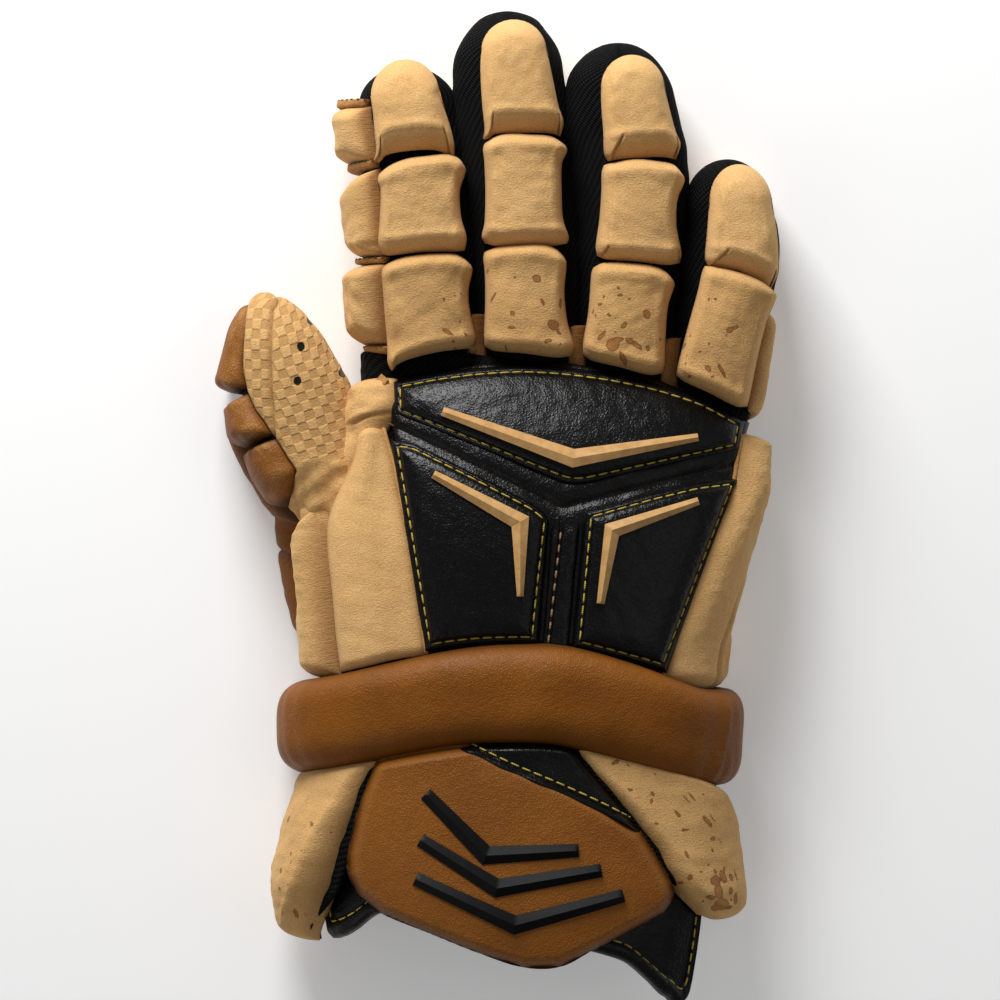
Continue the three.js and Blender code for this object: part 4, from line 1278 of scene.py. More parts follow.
def add_panels():
    """The three black leather panels, domed inside a stitched margin."""
    for k, (name, (low, high, (columns, rows))) in enumerate(PANELS.items()):
        plan = ruled(corner_rounded(low), corner_rounded(high), columns, rows, 0.4)
        patch = on_tube(hand, plan, ON_TUBE, ON_TUBE + BACK_PAD * 0.7)
        edge = patch.edge()
        margin = 0.66 * edge_round(edge + 0.15, STITCH_INSET + 0.3) ** 0.85
        dome = 0.28 * edge_round(edge - STITCH_INSET - 0.2, 8)
        groove = 0.08 * bell(edge - STITCH_INSET, 0.55)
        waves = np.cos((patch.flat[..., 0] + patch.flat[..., 1]) * 1.46)
        pucker = 0.014 * waves * bell(edge - STITCH_INSET, 1.6)
        noise = 0.014 * wobble(patch.grid, 22, 80 + k) + 0.008 * wobble(patch.grid, 7, 90 + k)
        height = margin + dome - groove + pucker + noise * ramp(edge / 4)
        patch.height = np.clip(height, 0.05, 1.02) * BACK_PAD
        # Painted highlight on the rolled margin near the edge, and painted shade in the stitched groove.
        masks = {"crown": 0.5 * bell(edge - 1.6, 0.9), "crease": 0.6 * bell(edge - STITCH_INSET, 0.5)}
        cover(f"{name}_cover", patch, BLACK, "black_leather", name, 0.9, **masks)
        for side in ("left", "far", "right", "near"):
            line = patch.line(side, STITCH_INSET, STITCH_INSET)
            if side in ("right", "near"):
                line = line[::-1]
            stitch_line(yellow, patch.sample(*line.T, 0), 3.9, 0.35, 0.29)


def add_back_sheet():
    """The leather that joins the panels, with a stitched groove between them."""
    high = ((-38, 40.6), (-6, 46), (23, 46), (53, 40.6), (84, 26))
    plan = ruled(along_band(-27.4, 58), high, 130, 96, 0.2)
    patch = on_tube(hand, plan, SEAM, SEAM + 3)
    line = resample(BACK_GROOVE, np.linspace(0, 1, 200))
    groove = distance_to(plan, line)
    soft = 0.3 * wobble(patch.grid, 12, 97)
    raised = 1.5 * edge_round(groove, 4) * ramp((11 - groove) / 6)
    patch.height = 2.6 + soft + raised - 0.7 * bell(groove, 0.7)
    patch.height = np.clip(patch.height * edge_round(patch.edge() + 0.2, 2), 0.3, None)
    # Painted shade in the stitched groove.
    cover("back_sheet", patch, BLACK, "black_leather", crease=0.7 * bell(groove, 0.6))
    place = hand.locate(*line.T, SEAM + 2)
    stitch_line(dark_thread, hand.point(*place, SEAM + 2.0), 3.4, 0.9, 0.3)


def add_centre_channel():
    """The narrow leather channel between the two lower panels, with its stitched seam."""
    channel = ruled(along_band(14.2, 22.8), ((17.2, -6), (27, -5)), 30, 90, 0.3)
    patch = on_tube(hand, channel, ON_TUBE, ON_TUBE + 3)
    edge = np.minimum(patch.left, patch.right)
    rows, columns = patch.station.shape
    seam_at = patch.width[:, 0] * np.linspace(0.2, 0.38, rows)
    seam = patch.left - seam_at[:, None]
    patch.height = 2.4 + 1.8 * edge_round(edge, 3) - 1.2 * bell(seam, 0.8) + 0.15 * wobble(patch.grid, 6, 99)
    # Painted shade in the seam's groove.
    painted_light_and_wear = 0.7 * bell(seam, 0.6)
    cover("centre_channel_cover", patch, BLACK, "black_leather", "centre_channel", crease=painted_light_and_wear)
    column = [np.interp(at, left, np.arange(columns)) for at, left in zip(seam_at, patch.left)]
    path = patch.sample(np.arange(rows, dtype=float), np.array(column), 0.15)
    stitch_line(tan_thread, path, 3.0, 1.3, 0.34)


# Moulded bars: each path in plan, and its half widths at its start, turn and end.
BARS = (
    ("knuckle_chevron", ((-19.2, 29.6), (24.4, 13.9), (66.2, 21)), (1.5, 3.0, 1.3)),
    ("left_chevron", ((-22.2, 8.6), (6.75, -7.2), (6.7, -32)), (1.4, 2.9, 1.1)),
    ("right_chevron", ((66.2, -0.3), (37.2, -10), (33.4, -34.4)), (1.3, 2.6, 1.3)),
    ("cuff_chevron_upper", ((-24.6, -97.4), (-4.6, -117.6), (26, -116)), (2.2, 3, 2.2)),
    ("cuff_chevron_middle", ((-26.4, -112.6), (-1, -128.4), (33.6, -122.6)), (2.2, 3, 2.2)),
    ("cuff_chevron_lower", ((-28, -125.4), (5, -140.6), (41, -131)), (2.2, 3, 2.2)),
)
BAR_HEIGHT, BAR_FOOT = 1.4, 1.5


def bar_plan(path, half, columns, rows):
    """A mitred bar's plan grid along its path."""
    start, turn, end = (np.array(p, float) for p in path)
    first = (turn - start) / np.linalg.norm(turn - start)
    second = (end - turn) / np.linalg.norm(end - turn)
    middle = (first + second) / np.linalg.norm(first + second)
    left = [np.array([-d[1], d[0]]) for d in (first, middle, second)]
    mitre = 1 / float(left[1] @ left[0])
    wide = [half[0], half[1] * mitre, half[2]]
    across = np.linspace(-1, 1, columns)[:, None]
    lines = [p + n * w * across for p, n, w in zip((start, turn, end), left, wide)]
    t = np.linspace(0, 1, rows)[:, None, None]
    front = lines[0][None] * (1 - t) + lines[1][None] * t
    back = lines[1][None] * (1 - t[1:]) + lines[2][None] * t[1:]
    return np.concatenate([front, back])


def add_bars():
    """The roofed bars on the panels and on the cuff pad, their feet in the leather."""
    for name, path, half in BARS:
        on_back = not name.startswith("cuff")
        lift = (ON_TUBE + BACK_PAD if on_back else ON_LINER + CUFF_PAD) + SEAM
        patch = on_tube(hand, bar_plan(path, half, 13, 44), lift, lift)
        roof = 1 - np.abs(2 * unit(patch.left / patch.width) - 1)
        ends = np.minimum(edge_round(patch.near + 0.1, 1.0), edge_round(patch.far + 0.1, 1.0))
        patch.base = lift - BAR_FOOT
        patch.height = BAR_FOOT + BAR_HEIGHT * roof * (0.4 + 0.6 * ends)
        finish, slot = (TAN_MOULD, "tan_moulding") if on_back else (BLACK_MOULD, "black_moulding")
        obj = cover(f"{name}_bar", patch, finish, slot, name)
        split = obj.modifiers.new("edges", "EDGE_SPLIT")
        split.split_angle = math.radians(20)


# Side pads


def angles_under(line, lift):
    """The hand's angles under a plan line's points."""
    return [float(hand.locate(np.array(x, float), np.array(y, float), lift)[1]) for x, y in line]


def thickness(rows, patch):
    """Thickness over a patch, from stations and the millimetres there."""
    at, out = np.array(rows, float)
    return table(at, out, patch.station)


def side_patch(start, end, far, rows, columns, measure_at):
    """A patch on the hand's side, from the band to some stations."""
    near = above_band(np.linspace(start[0], end[0], BAND_POINTS))
    return round_tube(hand, near, far, start, end, rows, columns, ON_TUBE, measure_at)


# Outline of the pad beside the left panel
SIDE_PAD = dict(
    left=(
        (-53.2, -57.6), (-54.7, -46.7), (-56.2, -31), (-57.7, -18), (-58, -9), (-56.6, -2.6),
        (-53, 5.6), (-50, 11.6), (-48.5, 17), (-48.2, 21.4),
    ),
    right=(
        (-24.2, -51.6), (-26.7, -33.5), (-28.3, -22.6), (-30.3, -11.3), (-31.9, -4), (-33.6, 3.6),
        (-35.2, 11.4), (-37.4, 18.8), (-38.9, 24),
    ),
    low=((-44, -55.4), (-34, -53)),
    far=((-46.4, 24), (-42.6, 25)),
)
# How far the rolls on the hand's sides stand out: stations, and millimetres
ROLL_OUT = ((-64, -45, -30, -14, -4), (9, 10.6, 12.4, 15, 15.4))
PINKY_OUT = (
    (-64, -51, -40, -29, -18, -7, 0, 8, 22, 34),
    (4.7, 5, 6.8, 7.8, 8.6, 9.6, 10.2, 11, 9.6, 8),
)
# Inner edge of the pad on the little finger's side
PINKY_LEFT = (
    (55.2, -58), (57, -48), (60.8, -38), (64.6, -28), (68.4, -18),
    (72.6, -8), (77, 2), (79.2, 12), (81.4, 22),
)


def add_thumb_side_pad(piping):
    """The long pad beside the left panel, highest near its outer edge and piped along its inner one."""
    plan = bounded(*SIDE_PAD.values(), 130, 72, 0.6)
    patch = on_tube(hand, plan, ON_TUBE, 7)
    share = patch.left / patch.width
    rise = (0.52 + 0.48 * edge_round(patch.left, 6)) * (1 - 0.52 * ramp((share - 0.34) / 0.6))
    rise = rise * edge_round(patch.right + 0.3, 3) * edge_round(patch.near + 1, 5)
    rise = rise * edge_round(patch.far + 0.2, 3.4)
    rise = rise * (1 + 0.02 * wobble(patch.grid, 20, 110) + 0.01 * wobble(patch.grid, 7, 111))
    patch.height = np.clip(9.6 * rise, 0.4, None)
    # Painted shade along the edges, widest along the low right edge by the panel.
    painted_light_and_wear = unit(0.6 * bell(patch.left, 1.0) + 0.75 * bell(patch.right, 3.2) + 0.4 * bell(patch.far, 0.8))
    cover("thumb_side_pad_cover", patch, PAD_SUEDE, "pad_suede", "thumb_side_pad", 0.75, crease=painted_light_and_wear)
    cord_shape(piping, patch.sample(*patch.line("right", 0.2).T, 0.7), 0.75)


def add_thumb_side_roll():
    """The roll outside that pad, thickest towards the thumb."""
    patch = side_patch((-96, -94), (-66, -73), (-14, -10.5, -1), 104, 56, 6)
    soft_roll(patch, thickness(ROLL_OUT, patch), (9, 8), (6, 6.5), 120)
    # Painted shade along the roll's edges, widest along its right one.
    painted_light_and_wear = unit(0.8 * bell(patch.right, 2.4) + 0.5 * bell(patch.left, 1.0))
    cover("thumb_side_roll_cover", patch, PAD_SUEDE, "pad_suede", "thumb_side_roll", 0.8, crease=painted_light_and_wear)


def add_pinky_side_pad(piping):
    """The long pad on the little finger's side, with two folds near the band."""
    patch = side_patch(angles_under(PINKY_LEFT, 4), (94,) * 2, (30.5, 29), 130, 64, 6)
    soft_roll(patch, thickness(PINKY_OUT, patch), (9, 8), (5, 3.0), 130)
    share = patch.left / patch.width
    fold = bell(share - 0.6, 0.045) * ramp((44 - patch.near) / 24)
    second = bell(share - 0.76, 0.04) * ramp((34 - patch.near) / 20)
    patch.height = np.clip(patch.height - 1.1 * fold - 0.9 * second, 0.4, None)
    # Painted shade along the edges, widest along the left one, and in the first fold.
    painted_light_and_wear = unit(0.8 * bell(patch.left, 2.6) + 0.5 * bell(patch.right, 1.0) + 0.5 * fold)
    cover("pinky_side_pad_cover", patch, PAD_SUEDE, "pad_suede", "pinky_side_pad", 0.75, crease=painted_light_and_wear)
    row, column = patch.line("left", 0.2).T
    cord_shape(piping, patch.sample(row, column + 0.4, 0.7), 0.75)


def add_pinky_low_roll():
    """The small roll under that pad."""
    patch = side_patch((96, 96), (118, 118), (-30, -30), 60, 40, 4)
    soft_roll(patch, 8, (6, 6), (6, 6), 140)
    # Painted shade along the roll's edges.
    painted_light_and_wear = 0.6 * bell(patch.edge(), 1.0)
    cover("pinky_low_roll_cover", patch, PAD_SUEDE, "pad_suede", "pinky_low_roll", 0.8, crease=painted_light_and_wear)


def add_side_pads():
    """The four pads and rolls along the hand's sides, and the piping of two of them."""
    piping = Shape()
    add_thumb_side_pad(piping)
    add_thumb_side_roll()
    add_pinky_side_pad(piping)
    make("side_piping", piping, RAW_EDGE)
    add_pinky_low_roll()


# Inner edge of the roll over the thumb's web, from the band to the fingers
WEB_RIGHT = ((-55.5, -6), (-53.4, 0), (-50.6, 7), (-46.6, 15), (-41.4, 23), (-37.6, 30), (-37.4, 38))
# Corners of the small tag at its top, two on each side
WEB_TAG = ((-41.7, 40.2), (-39.8, 42.4), (-37.4, 40.4), (-38.6, 38.2))


def add_web_roll():
    """The soft roll that runs down from the index finger into the thumb, folded over near its top."""
    end = angles_under(WEB_RIGHT, 6)
    patch = round_tube(hand, (-8, -8), (20, 27, 31, 33, 33.4), (-98, -104), end, 104, 64, ON_TUBE, 5)
    soft_roll(patch, 9.4, (7, 5), (5, 5), 150, 0.05)
    share = patch.left / patch.width
    fold_at = patch.grid[..., 1] - 26.4 - 0.5 * (patch.grid[..., 0] + 44) + 0.3 * wobble(patch.grid, 6, 154)
    on_right = ramp((share - 0.66) / 0.16)
    tuck = bell(fold_at, 0.7) * on_right
    below = ramp((0.6 - fold_at) / 2.4) * on_right
    lump = 0.1 * wobble(patch.grid, 9, 152) * ramp((14 - patch.far) / 6)
    patch.height = np.clip(patch.height * (1 + lump) * (1 - 0.2 * below) - 1.8 * tuck, 0.4, None)
    # Painted shade in the tuck, along the edges and just below the fold.
    painted_light_and_wear = unit(0.9 * tuck + 0.6 * bell(patch.edge(), 1.2) + 0.35 * bell(fold_at + 1.8, 1.6) * on_right)
    cover("thumb_web_roll_cover", patch, PAD_SUEDE, "pad_suede", "thumb_web_roll", 0.6, crease=painted_light_and_wear)


def add_web_tag():
    """A small suede tag at the roll's top."""
    plan = bounded(WEB_TAG[:2], WEB_TAG[:1:-1], (), (), 14, 14, 0)
    patch = on_tube(hand, plan, 3, 6)
    patch.height = 3.6 + 0.3 * wobble(patch.grid, 3, 153)
    # Painted shade along the tag's edges.
    cover("web_tag", patch, RAW_EDGE, "pad_suede", crease=0.5 * bell(patch.edge(), 0.5))


# Thumb


def body_solid(name, tube, y, lift):
    """A solid that fills a tube between stations, for cutting."""
    rings = tube.point(y, ALL_ROUND, lift)
    shape = Shape()
    shape.lathe(rings, ring_flat(rings))
    mesh = bpy.data.meshes.new(name)
    mesh.from_pydata((np.concatenate(shape.verts) * MM).tolist(), [], shape.faces)
    recalculate(mesh)
    return placed(name, mesh)


def cut(obj, tool):
    """Takes the tool's space out of a piece."""
    change = obj.modifiers.new("cut", "BOOLEAN")
    change.operation = "DIFFERENCE"
    change.solver = "EXACT"
    change.object = tool
    bpy.context.view_layer.update()
    deps = bpy.context.evaluated_depsgraph_get()
    mesh = bpy.data.meshes.new_from_object(obj.evaluated_get(deps), depsgraph=deps)
    obj.modifiers.clear()
    old = obj.data
    obj.data = mesh
    bpy.data.meshes.remove(old)


def thumb_stations(lift, count=18):
    """Stations along the whole thumb."""
    return stations_to_tip(thumb, THUMB_ROOT, lift, count)


HAND_STATIONS = np.linspace(HAND_BACK, HAND_FRONT, 40)[:, None]
# Where the thumb's small vents are, in plan
VENTS = ((-67.9, 39.9), (-66.8, 50.7), (-63.4, 58.8), (-54, 42.8))
# In plan, from the wrist to the tip: where the thumb's suede face meets its leather pads, and the face's seam
FACE_EDGE = (
    (-71, -6), (-70.8, -0.4), (-69.6, 4), (-67.9, 9.8), (-70.7, 13.6), (-74.1, 18.9), (-76.6, 22.3),
    (-79.2, 26.6), (-81.7, 30), (-84.6, 36.4), (-86, 43), (-85.9, 51), (-85.5, 58), (-85, 66),
)
FACE_SEAM = (
    (-75.6, 20), (-75.8, 29), (-76.4, 35), (-76.8, 44.5), (-76.6, 54.7), (-75.8, 62.3), (-72.8, 65.7),
)
# Each pad over the thumb: its ends, their rounding, and its thickness at some stations
THUMB_PADS = (
    (
        "thumb_tip_pad", (35.4, 35.8, 37.4), (65.4, 65.4), (6, 12),
        ((35, 38, 44, 50, 57, 63), (8.8, 8.8, 6.8, 4.6, 3, 2)),
    ),
    (
        "thumb_mid_pad", (16.4, 17.4, 21.8), (30.2, 32, 36), (5, 3),
        ((16, 20, 25, 30, 36), (8.6, 8.4, 7.8, 6.8, 5.6)),
    ),
    (
        "thumb_base_pad", (-5, -3, 0.6), (15.2, 16.6, 20.6), (5, 3),
        ((-6, 1, 7, 12, 15, 21), (8, 7.6, 7, 6, 5.2, 4.6)),
    ),
)
# The same for the heel pad and for the strip under the thumb
HEEL_OUT = ((-50, -37, -27, -14, -4), (13, 17.5, 21, 24.6, 25.6))
STRIP_OUT = ((-9, 5, 11, 20, 33), (11, 9.6, 9.4, 8.8, 6.6))


def along_line(line, y):
    """The x of a plan line at y."""
    line = np.array(line)
    return np.interp(y, line[:, 1], line[:, 0])


def add_hand_and_thumb():
    """The knitted hand and thumb, cut open to each other, and what covers the thumb."""
    y = np.linspace(HAND_BACK, HAND_FRONT, 60)[:, None]
    wall = hollow(hand.point(y[::2], ALL_ROUND, -HAND_WALL), hand.point(y, ALL_ROUND, 0), closed=True)
    shell = make("hand_knit", wall, MESH, "hand_shell")
    way = body_solid("thumb_way", thumb, thumb_stations(-SLEEVE_WALL), -SLEEVE_WALL)
    cut(shell, way)

    keep = body_solid("hand_keep", hand, HAND_STATIONS, SEAM)
    inner = thumb.point(thumb_stations(-SLEEVE_WALL, 20), ALL_ROUND, -SLEEVE_WALL)
    outer = thumb.point(thumb_stations(0, 30), ALL_ROUND, 0)
    cut(make("thumb_knit", hollow(inner, outer), MESH, "thumb_sleeve"), keep)

    keep_far = body_solid("hand_keep_far", hand, HAND_STATIONS, SEAM + SUEDE + SEAM)
    add_thumb_face(keep_far)
    for k, pad in enumerate(THUMB_PADS):
        add_thumb_pad(*pad, 180 + 5 * k, keep)
    block = body_solid("thumb_keep", thumb, thumb_stations(0), ON_TUBE)
    add_heel_pad(block)
    add_root_fold()
    add_low_strip()
    for tool in (way, keep, keep_far, block):
        bpy.data.objects.remove(tool)


def face_angle(station):
    """The angle at which the thumb's suede face begins, at each station."""
    return thumb.locate(along_line(FACE_EDGE, station), station, SEAM + SUEDE)[1]


def vent_mask(grid, upper):
    """1 inside the small vents on the thumb's upper side, 0 away from them."""
    vents = np.zeros(grid.shape[:-1])
    for x, y in VENTS:
        gone = np.hypot(grid[..., 0] - x, (grid[..., 1] - y) * 0.85)
        vents = np.maximum(vents, np.where(upper, 1 - ramp((gone - 0.9) / 0.7), 0))
    return vents


def face_flat(patch, offset, upper):
    """The face's flat coordinate, turned past its seam, where the checks meet at an angle."""
    y = patch.grid[..., 1]
    seam_at = [np.interp(0, off[up], left[up]) for off, up, left in zip(offset, upper, patch.left)]
    across = patch.left - np.array(seam_at)[:, None] + np.maximum(offset[:, :1], 0)
    turn = np.radians(18) * (offset > 0)
    u = across * np.cos(turn) + y * np.sin(turn)
    v = y * np.cos(turn) - across * np.sin(turn)
    return np.stack([u, v, 0 * u], -1)


def face_patch():
    """The surface of the thumb's suede face, from the leather pads round to the palm's side."""
    rows, columns = 120, 132
    q = np.linspace(0, 1, rows)[:, None]
    start = THUMB_TIP - THUMB_CAP
    along = THUMB_ROOT + (start - THUMB_ROOT) * unit(q / 0.62)
    over = (THUMB_CAP + SEAM) * np.sin(np.radians(84 * unit((q - 0.62) / 0.38)))
    p = np.linspace(0, 1, columns)[None]
    angles = face_angle(along + over) * (1 - p) + 191.25 * p
    return Patch(thumb, along + over + 0 * p, angles, SEAM, SEAM + SUEDE)


def add_thumb_face(keep):
    """The thumb's checked suede face, puffed beside its seam and gathered at its root."""
    patch = face_patch()
    grid = patch.grid
    upper = np.cos(np.radians(patch.angle)) > 0
    offset = grid[..., 0] - along_line(FACE_SEAM, grid[..., 1])
    seam_line = bell(offset, 0.6) * upper * ramp((grid[..., 1] - 19) / 3)
    vents = vent_mask(grid, upper)
    patch.flat = face_flat(patch, offset, upper)
    puff = 1.1 * edge_round(np.abs(offset), 5) * edge_round(patch.left, 4) * upper
    puff = puff * ramp((grid[..., 1] - 6) / 8)
    low = ramp((grid[..., 1] - 11) / 5)
    pucker = (1 - low) * (0.5 * wobble(grid, 7, 171) + 0.4) * upper
    height = SUEDE + puff + pucker + 0.14 * wobble(grid, 9, 170) - 0.9 * seam_line - 0.3 * vents
    patch.height = np.clip(height * edge_round(patch.left + 0.5, 1.2), 0.2, SUEDE + 2)
    plain = unit(seam_line * 1.4 + bell(patch.left, 0.8))
    # Painted shade in patches where the root is gathered, along the seam and along the face's edge by the
    # pads.
    gathers = 0.5 * (1 - low) * bell(wobble(grid, 6, 172), 0.25)
    masks = {"checked": low * (1 - plain), "hole": vents}
    masks["crease"] = unit(seam_line * 0.7 + bell(patch.left, 0.7) + gathers)
    cut(cover("thumb_face", patch, CHECKED, "checked_suede", "thumb_palm", **masks), keep)


def add_thumb_pad(name, near, far, ends, out, seed, keep):
    """A stuffed leather pad over one joint, thinning to the suede face."""
    last = face_angle(np.linspace(near[-1], far[-1], 9))
    patch = round_tube(thumb, near, far, (-146, -146), last, 64, 88, ON_TUBE, 5)
    leather_roll(patch, thickness(out, patch), (6, 12), ends, seed)
    # A pale band near the suede face, partly wear and partly painted highlight; painted shade at the ends and
    # sides where the leather gathers.
    painted_light_and_wear = bell(patch.right - 4.5, 4) * (0.55 + 0.3 * wobble(patch.grid, 7, seed + 4)) * ramp(patch.near / 4)
    masks = {"crown": unit(painted_light_and_wear), "crease": gathered_seam_shade(patch)}
    cut(cover(f"{name}_cover", patch, BROWN, "brown_leather", name, 0.85, **masks), keep)


def add_heel_pad(block):
    """The long leather pad from the thumb down the hand's side, with a slanting fold."""
    patch = round_tube(hand, (-50, -50), (-4, -4), (-122, -122), (-97, -97), 72, 40, ON_TUBE, 10)
    leather_roll(patch, thickness(HEEL_OUT, patch), (9, 9), (9, 6), 200)
    fold = bell(patch.far - 12 - 0.5 * patch.left, 1.2)
    patch.height = np.clip(patch.height - 1.8 * fold, 0.4, None)
    # Paler towards the far end; painted shade at the gathered ends and sides and in the slanting fold.
    crown = 0.25 * ramp((10 - patch.far) / 6)
    masks = {"crown": crown, "crease": unit(gathered_seam_shade(patch) + 0.5 * fold)}
    cut(cover("thumb_heel_pad_cover", patch, BROWN, "brown_leather", "thumb_heel_pad", 0.85, **masks), block)


def add_root_fold():
    """The gathered suede at the thumb's root."""
    patch = round_tube(hand, (-15, -15), (-1, 5), (-97, -97), (-72, -66), 48, 56, ON_TUBE, 10)
    soft_roll(patch, 13.8, (8, 9), (8, 12), 204, 0.07)
    pucker = bell(patch.near - 3.4 - 1.6 * wobble(patch.grid, 7, 206), 0.8)
    patch.height = np.clip(patch.height - 1.2 * pucker, 0.4, None)
    # Painted shade in the pucker and along the near edge.
    painted_light_and_wear = unit(0.6 * pucker + 0.7 * bell(patch.near, 2.4))
    cover("thumb_root_fold", patch, PAD_SUEDE, "pad_suede", crease=painted_light_and_wear)


def add_low_strip():
    """The leather strip that runs along the thumb under its pads."""
    patch = round_tube(thumb, (-9, -9), (33, 33), (-138, -138), (-93, -93), 72, 32, ON_TUBE, 5)
    soft_roll(patch, thickness(STRIP_OUT, patch), (6, 6), (6, 6), 208)
    # Darker all over, and painted shade along the strip's edges.
    painted_light_and_wear = unit(0.25 + 0.6 * bell(patch.edge(), 1.2))
    cover("thumb_low_strip", patch, BROWN, "brown_leather", crease=painted_light_and_wear)


def leather_roll(patch, thick, sides, ends, seed):
    """A stuffed leather pad, with folds where it is gathered at its ends."""
    soft_roll(patch, thick, sides, ends, seed, 0.02)
    lines = np.sin(patch.flat[..., 0] * 1.1 + 2.0 * wobble(patch.grid, 14, seed + 2))
    near_fold = bell(patch.near - 2.2, 2.0) * lines
    far_fold = bell(patch.far - 2.2, 2.0) * lines
    patch.height = np.clip(patch.height + 0.28 * (near_fold + far_fold), 0.4, thick * 1.06)


def gathered_seam_shade(patch):
    """Painted shade where leather is gathered along its seams: at its ends and sides."""
    ends = 0.9 * bell(patch.near, 1.1) + 0.9 * bell(patch.far, 1.1)
    return unit(ends + 0.5 * bell(np.minimum(patch.left, patch.right), 0.8))


# Palm, band and cuff


def add_palm():
    """The suede palm, with two checked patches between seams."""
    rows, columns = 104, 96
    station = np.linspace(HAND_BACK + 0.2, HAND_FRONT - 0.2, rows)[:, None] + np.zeros((1, columns))
    angle = np.linspace(HAND_SPLIT, 360 - HAND_SPLIT, columns)[None, :] + np.zeros((rows, 1))
    patch = Patch(hand, station, angle, SEAM, SEAM + SUEDE)
    edge = patch.edge()
    x, y = patch.grid[..., 0], patch.grid[..., 1]
    patchwork = plan_box(x, y, -20, 58, -2, 32)
    heel = plan_box(x, y, -24, 52, -64, -24)
    groove = bell(patchwork, 0.5) + bell(heel, 0.5) + bell(edge - 2.4, 0.5)
    patch.height = np.clip(SUEDE - 0.5 * groove, 0.3, SUEDE) * edge_round(edge + 0.3, 1.0)
    masks = {"checked": unit(ramp((patchwork - 1) / 0.8) + ramp((heel - 1) / 0.8))}
    # Painted shade in the grooves of the seams.
    masks["crease"] = 0.6 * unit(groove)
    palm = cover("palm_sheet", patch, CHECKED, "palm_suede", "palm", **masks)
    block = body_solid("thumb_block", thumb, thumb_stations(0), SEAM + SUEDE + SEAM)
    cut(palm, block)
    bpy.data.objects.remove(block)


PATCH_CORNER = 6


def plan_box(x, y, left, right, low, high):
    """Distance inside a rounded box in plan, below zero outside it."""
    dx = np.abs(x - (left + right) / 2) - (right - left) / 2 + PATCH_CORNER
    dy = np.abs(y - (low + high) / 2) - (high - low) / 2 + PATCH_CORNER
    outside = np.hypot(np.maximum(dx, 0), np.maximum(dy, 0))
    return -(outside + np.minimum(np.maximum(dx, dy), 0) - PATCH_CORNER)


# How much thicker or thinner the band is at BAND_ANGLES
BAND_OUT = np.array((4.2, 4.2, 2.4, 0.6, 0, 0, 0, -0.4, -1.4, -2.2, -1.8, -1.4, -1.4))


def add_band():
    """The leather band round the wrist, creased at its ends, with a painted highlight along its upper edge
    over the back.
    """
    rows, columns = 70, 270
    angle = np.linspace(-130, 130, columns)[None, :] + np.zeros((rows, 1))
    share = np.linspace(-1, 1, rows)[:, None]
    half = BAND_HALF + BAND_LAP + 1.1 * bell(angle - 24, 26)
    patch = Patch(hand, band_middle(angle) + half * share, angle, ON_LINER, ON_LINER + BAND)
    full = (1 - np.abs(share) ** 3.6) ** (1 / 2.0)
    out = BAND + table(BAND_ANGLES, BAND_OUT, angle)
    ends = edge_round(np.minimum(patch.left, patch.right) + 0.4, 6)
    across = wobble(patch.grid * np.array([1, 0.3, 1]), 13, 210)
    gathers = np.sin(patch.flat[..., 0] * 0.8 + 2 * share)
    folds = bell(np.abs(angle) - 74, 16) * gathers * (0.4 + np.abs(share))
    ridge = 0.05 * bell(angle - 66 - 4 * share, 2.2) - 0.05 * bell(angle - 59 - 4 * share, 3.4)
    noise = 0.02 * wobble(patch.grid, 26, 211) + 0.014 * across * (1 - full * 0.5) + 0.016 * folds + ridge
    patch.height = np.clip(out * (0.08 + 0.92 * full) * (0.3 + 0.7 * ends) * (1 + noise), 0.5, None)
    # Painted highlight along the upper edge, which faces the light; painted shade over the lower half and
    # along both edges.
    crown = 0.12 * bell(share - 0.66, 0.2) * bell(angle - 5, 66)
    under = 0.12 * ramp((-share - 0.1) / 0.7) + 0.7 * bell(half * (1 - np.abs(share)), 1.6)
    masks = {"crown": unit(crown), "crease": unit(under)}
    cover("wrist_band_cover", patch, BROWN, "brown_leather", "wrist_band", 0.85, **masks)


# The liner's lower edge: angles around the hand, and stations
LINER_END = (
    (-100, -132), (-74, -133), (-70, -145), (-63, -146), (-54, -143.4), (-41, -137.6), (-20, -140),
    (0, -145), (15, -149), (24, -151.5), (31, -154), (40, -160), (49, -165.6), (60, -165.4),
    (64, -136), (72, -134), (100, -132),
)
# The cuff pad's outline in plan
CUFF_OUTLINE = dict(
    left=((-47, -131.6), (-50.6, -125), (-50.8, -117.7), (-46.4, -99), (-42, -88), (-41, -80)),
    right=((57.2, -134), (58, -131), (57.2, -127.4), (52.6, -119), (47, -110), (38, -104)),
    low=(
        (-44, -134), (-39.6, -137.4), (-24, -143.6), (-5.6, -150.8), (8, -155), (20, -154.8),
        (30.5, -149.6), (54.5, -137.4),
    ),
    far=((-30, -76), (-12, -78.6), (5, -87.6), (20, -93.8), (31, -99.6)),
)
# The black strip over the cuff pad: its lower edge, and the edge under the band
BLACK_STRIP = ((-20, -80.4), (-8, -86.2), (3, -91.4), (18, -97.6), (35, -105.3), (47.6, -112))
BLACK_STRIP_FAR = ((-14, -72), (10, -74), (28, -82), (34, -90), (40, -97), (46, -105), (50.4, -112))
STRIP_POINTS = 60
# Inner edges of the flaps, from the low end to the band, at even steps of y
FLAP_LEFT_EDGE = (
    (-66, -147.4), (-61.6, -137.8), (-57.9, -129.7), (-55, -121.6), (-52.4, -113), (-49.2, -105),
    (-45.6, -97), (-40.4, -88),
)
FLAP_RIGHT_EDGE = (
    (69, -138.4), (61.6, -131.1), (56.4, -123.8), (52.5, -116.5), (46.8, -109.2), (40.9, -101.9),
    (34.4, -94.6), (27.9, -87.3), (22.8, -80),
)
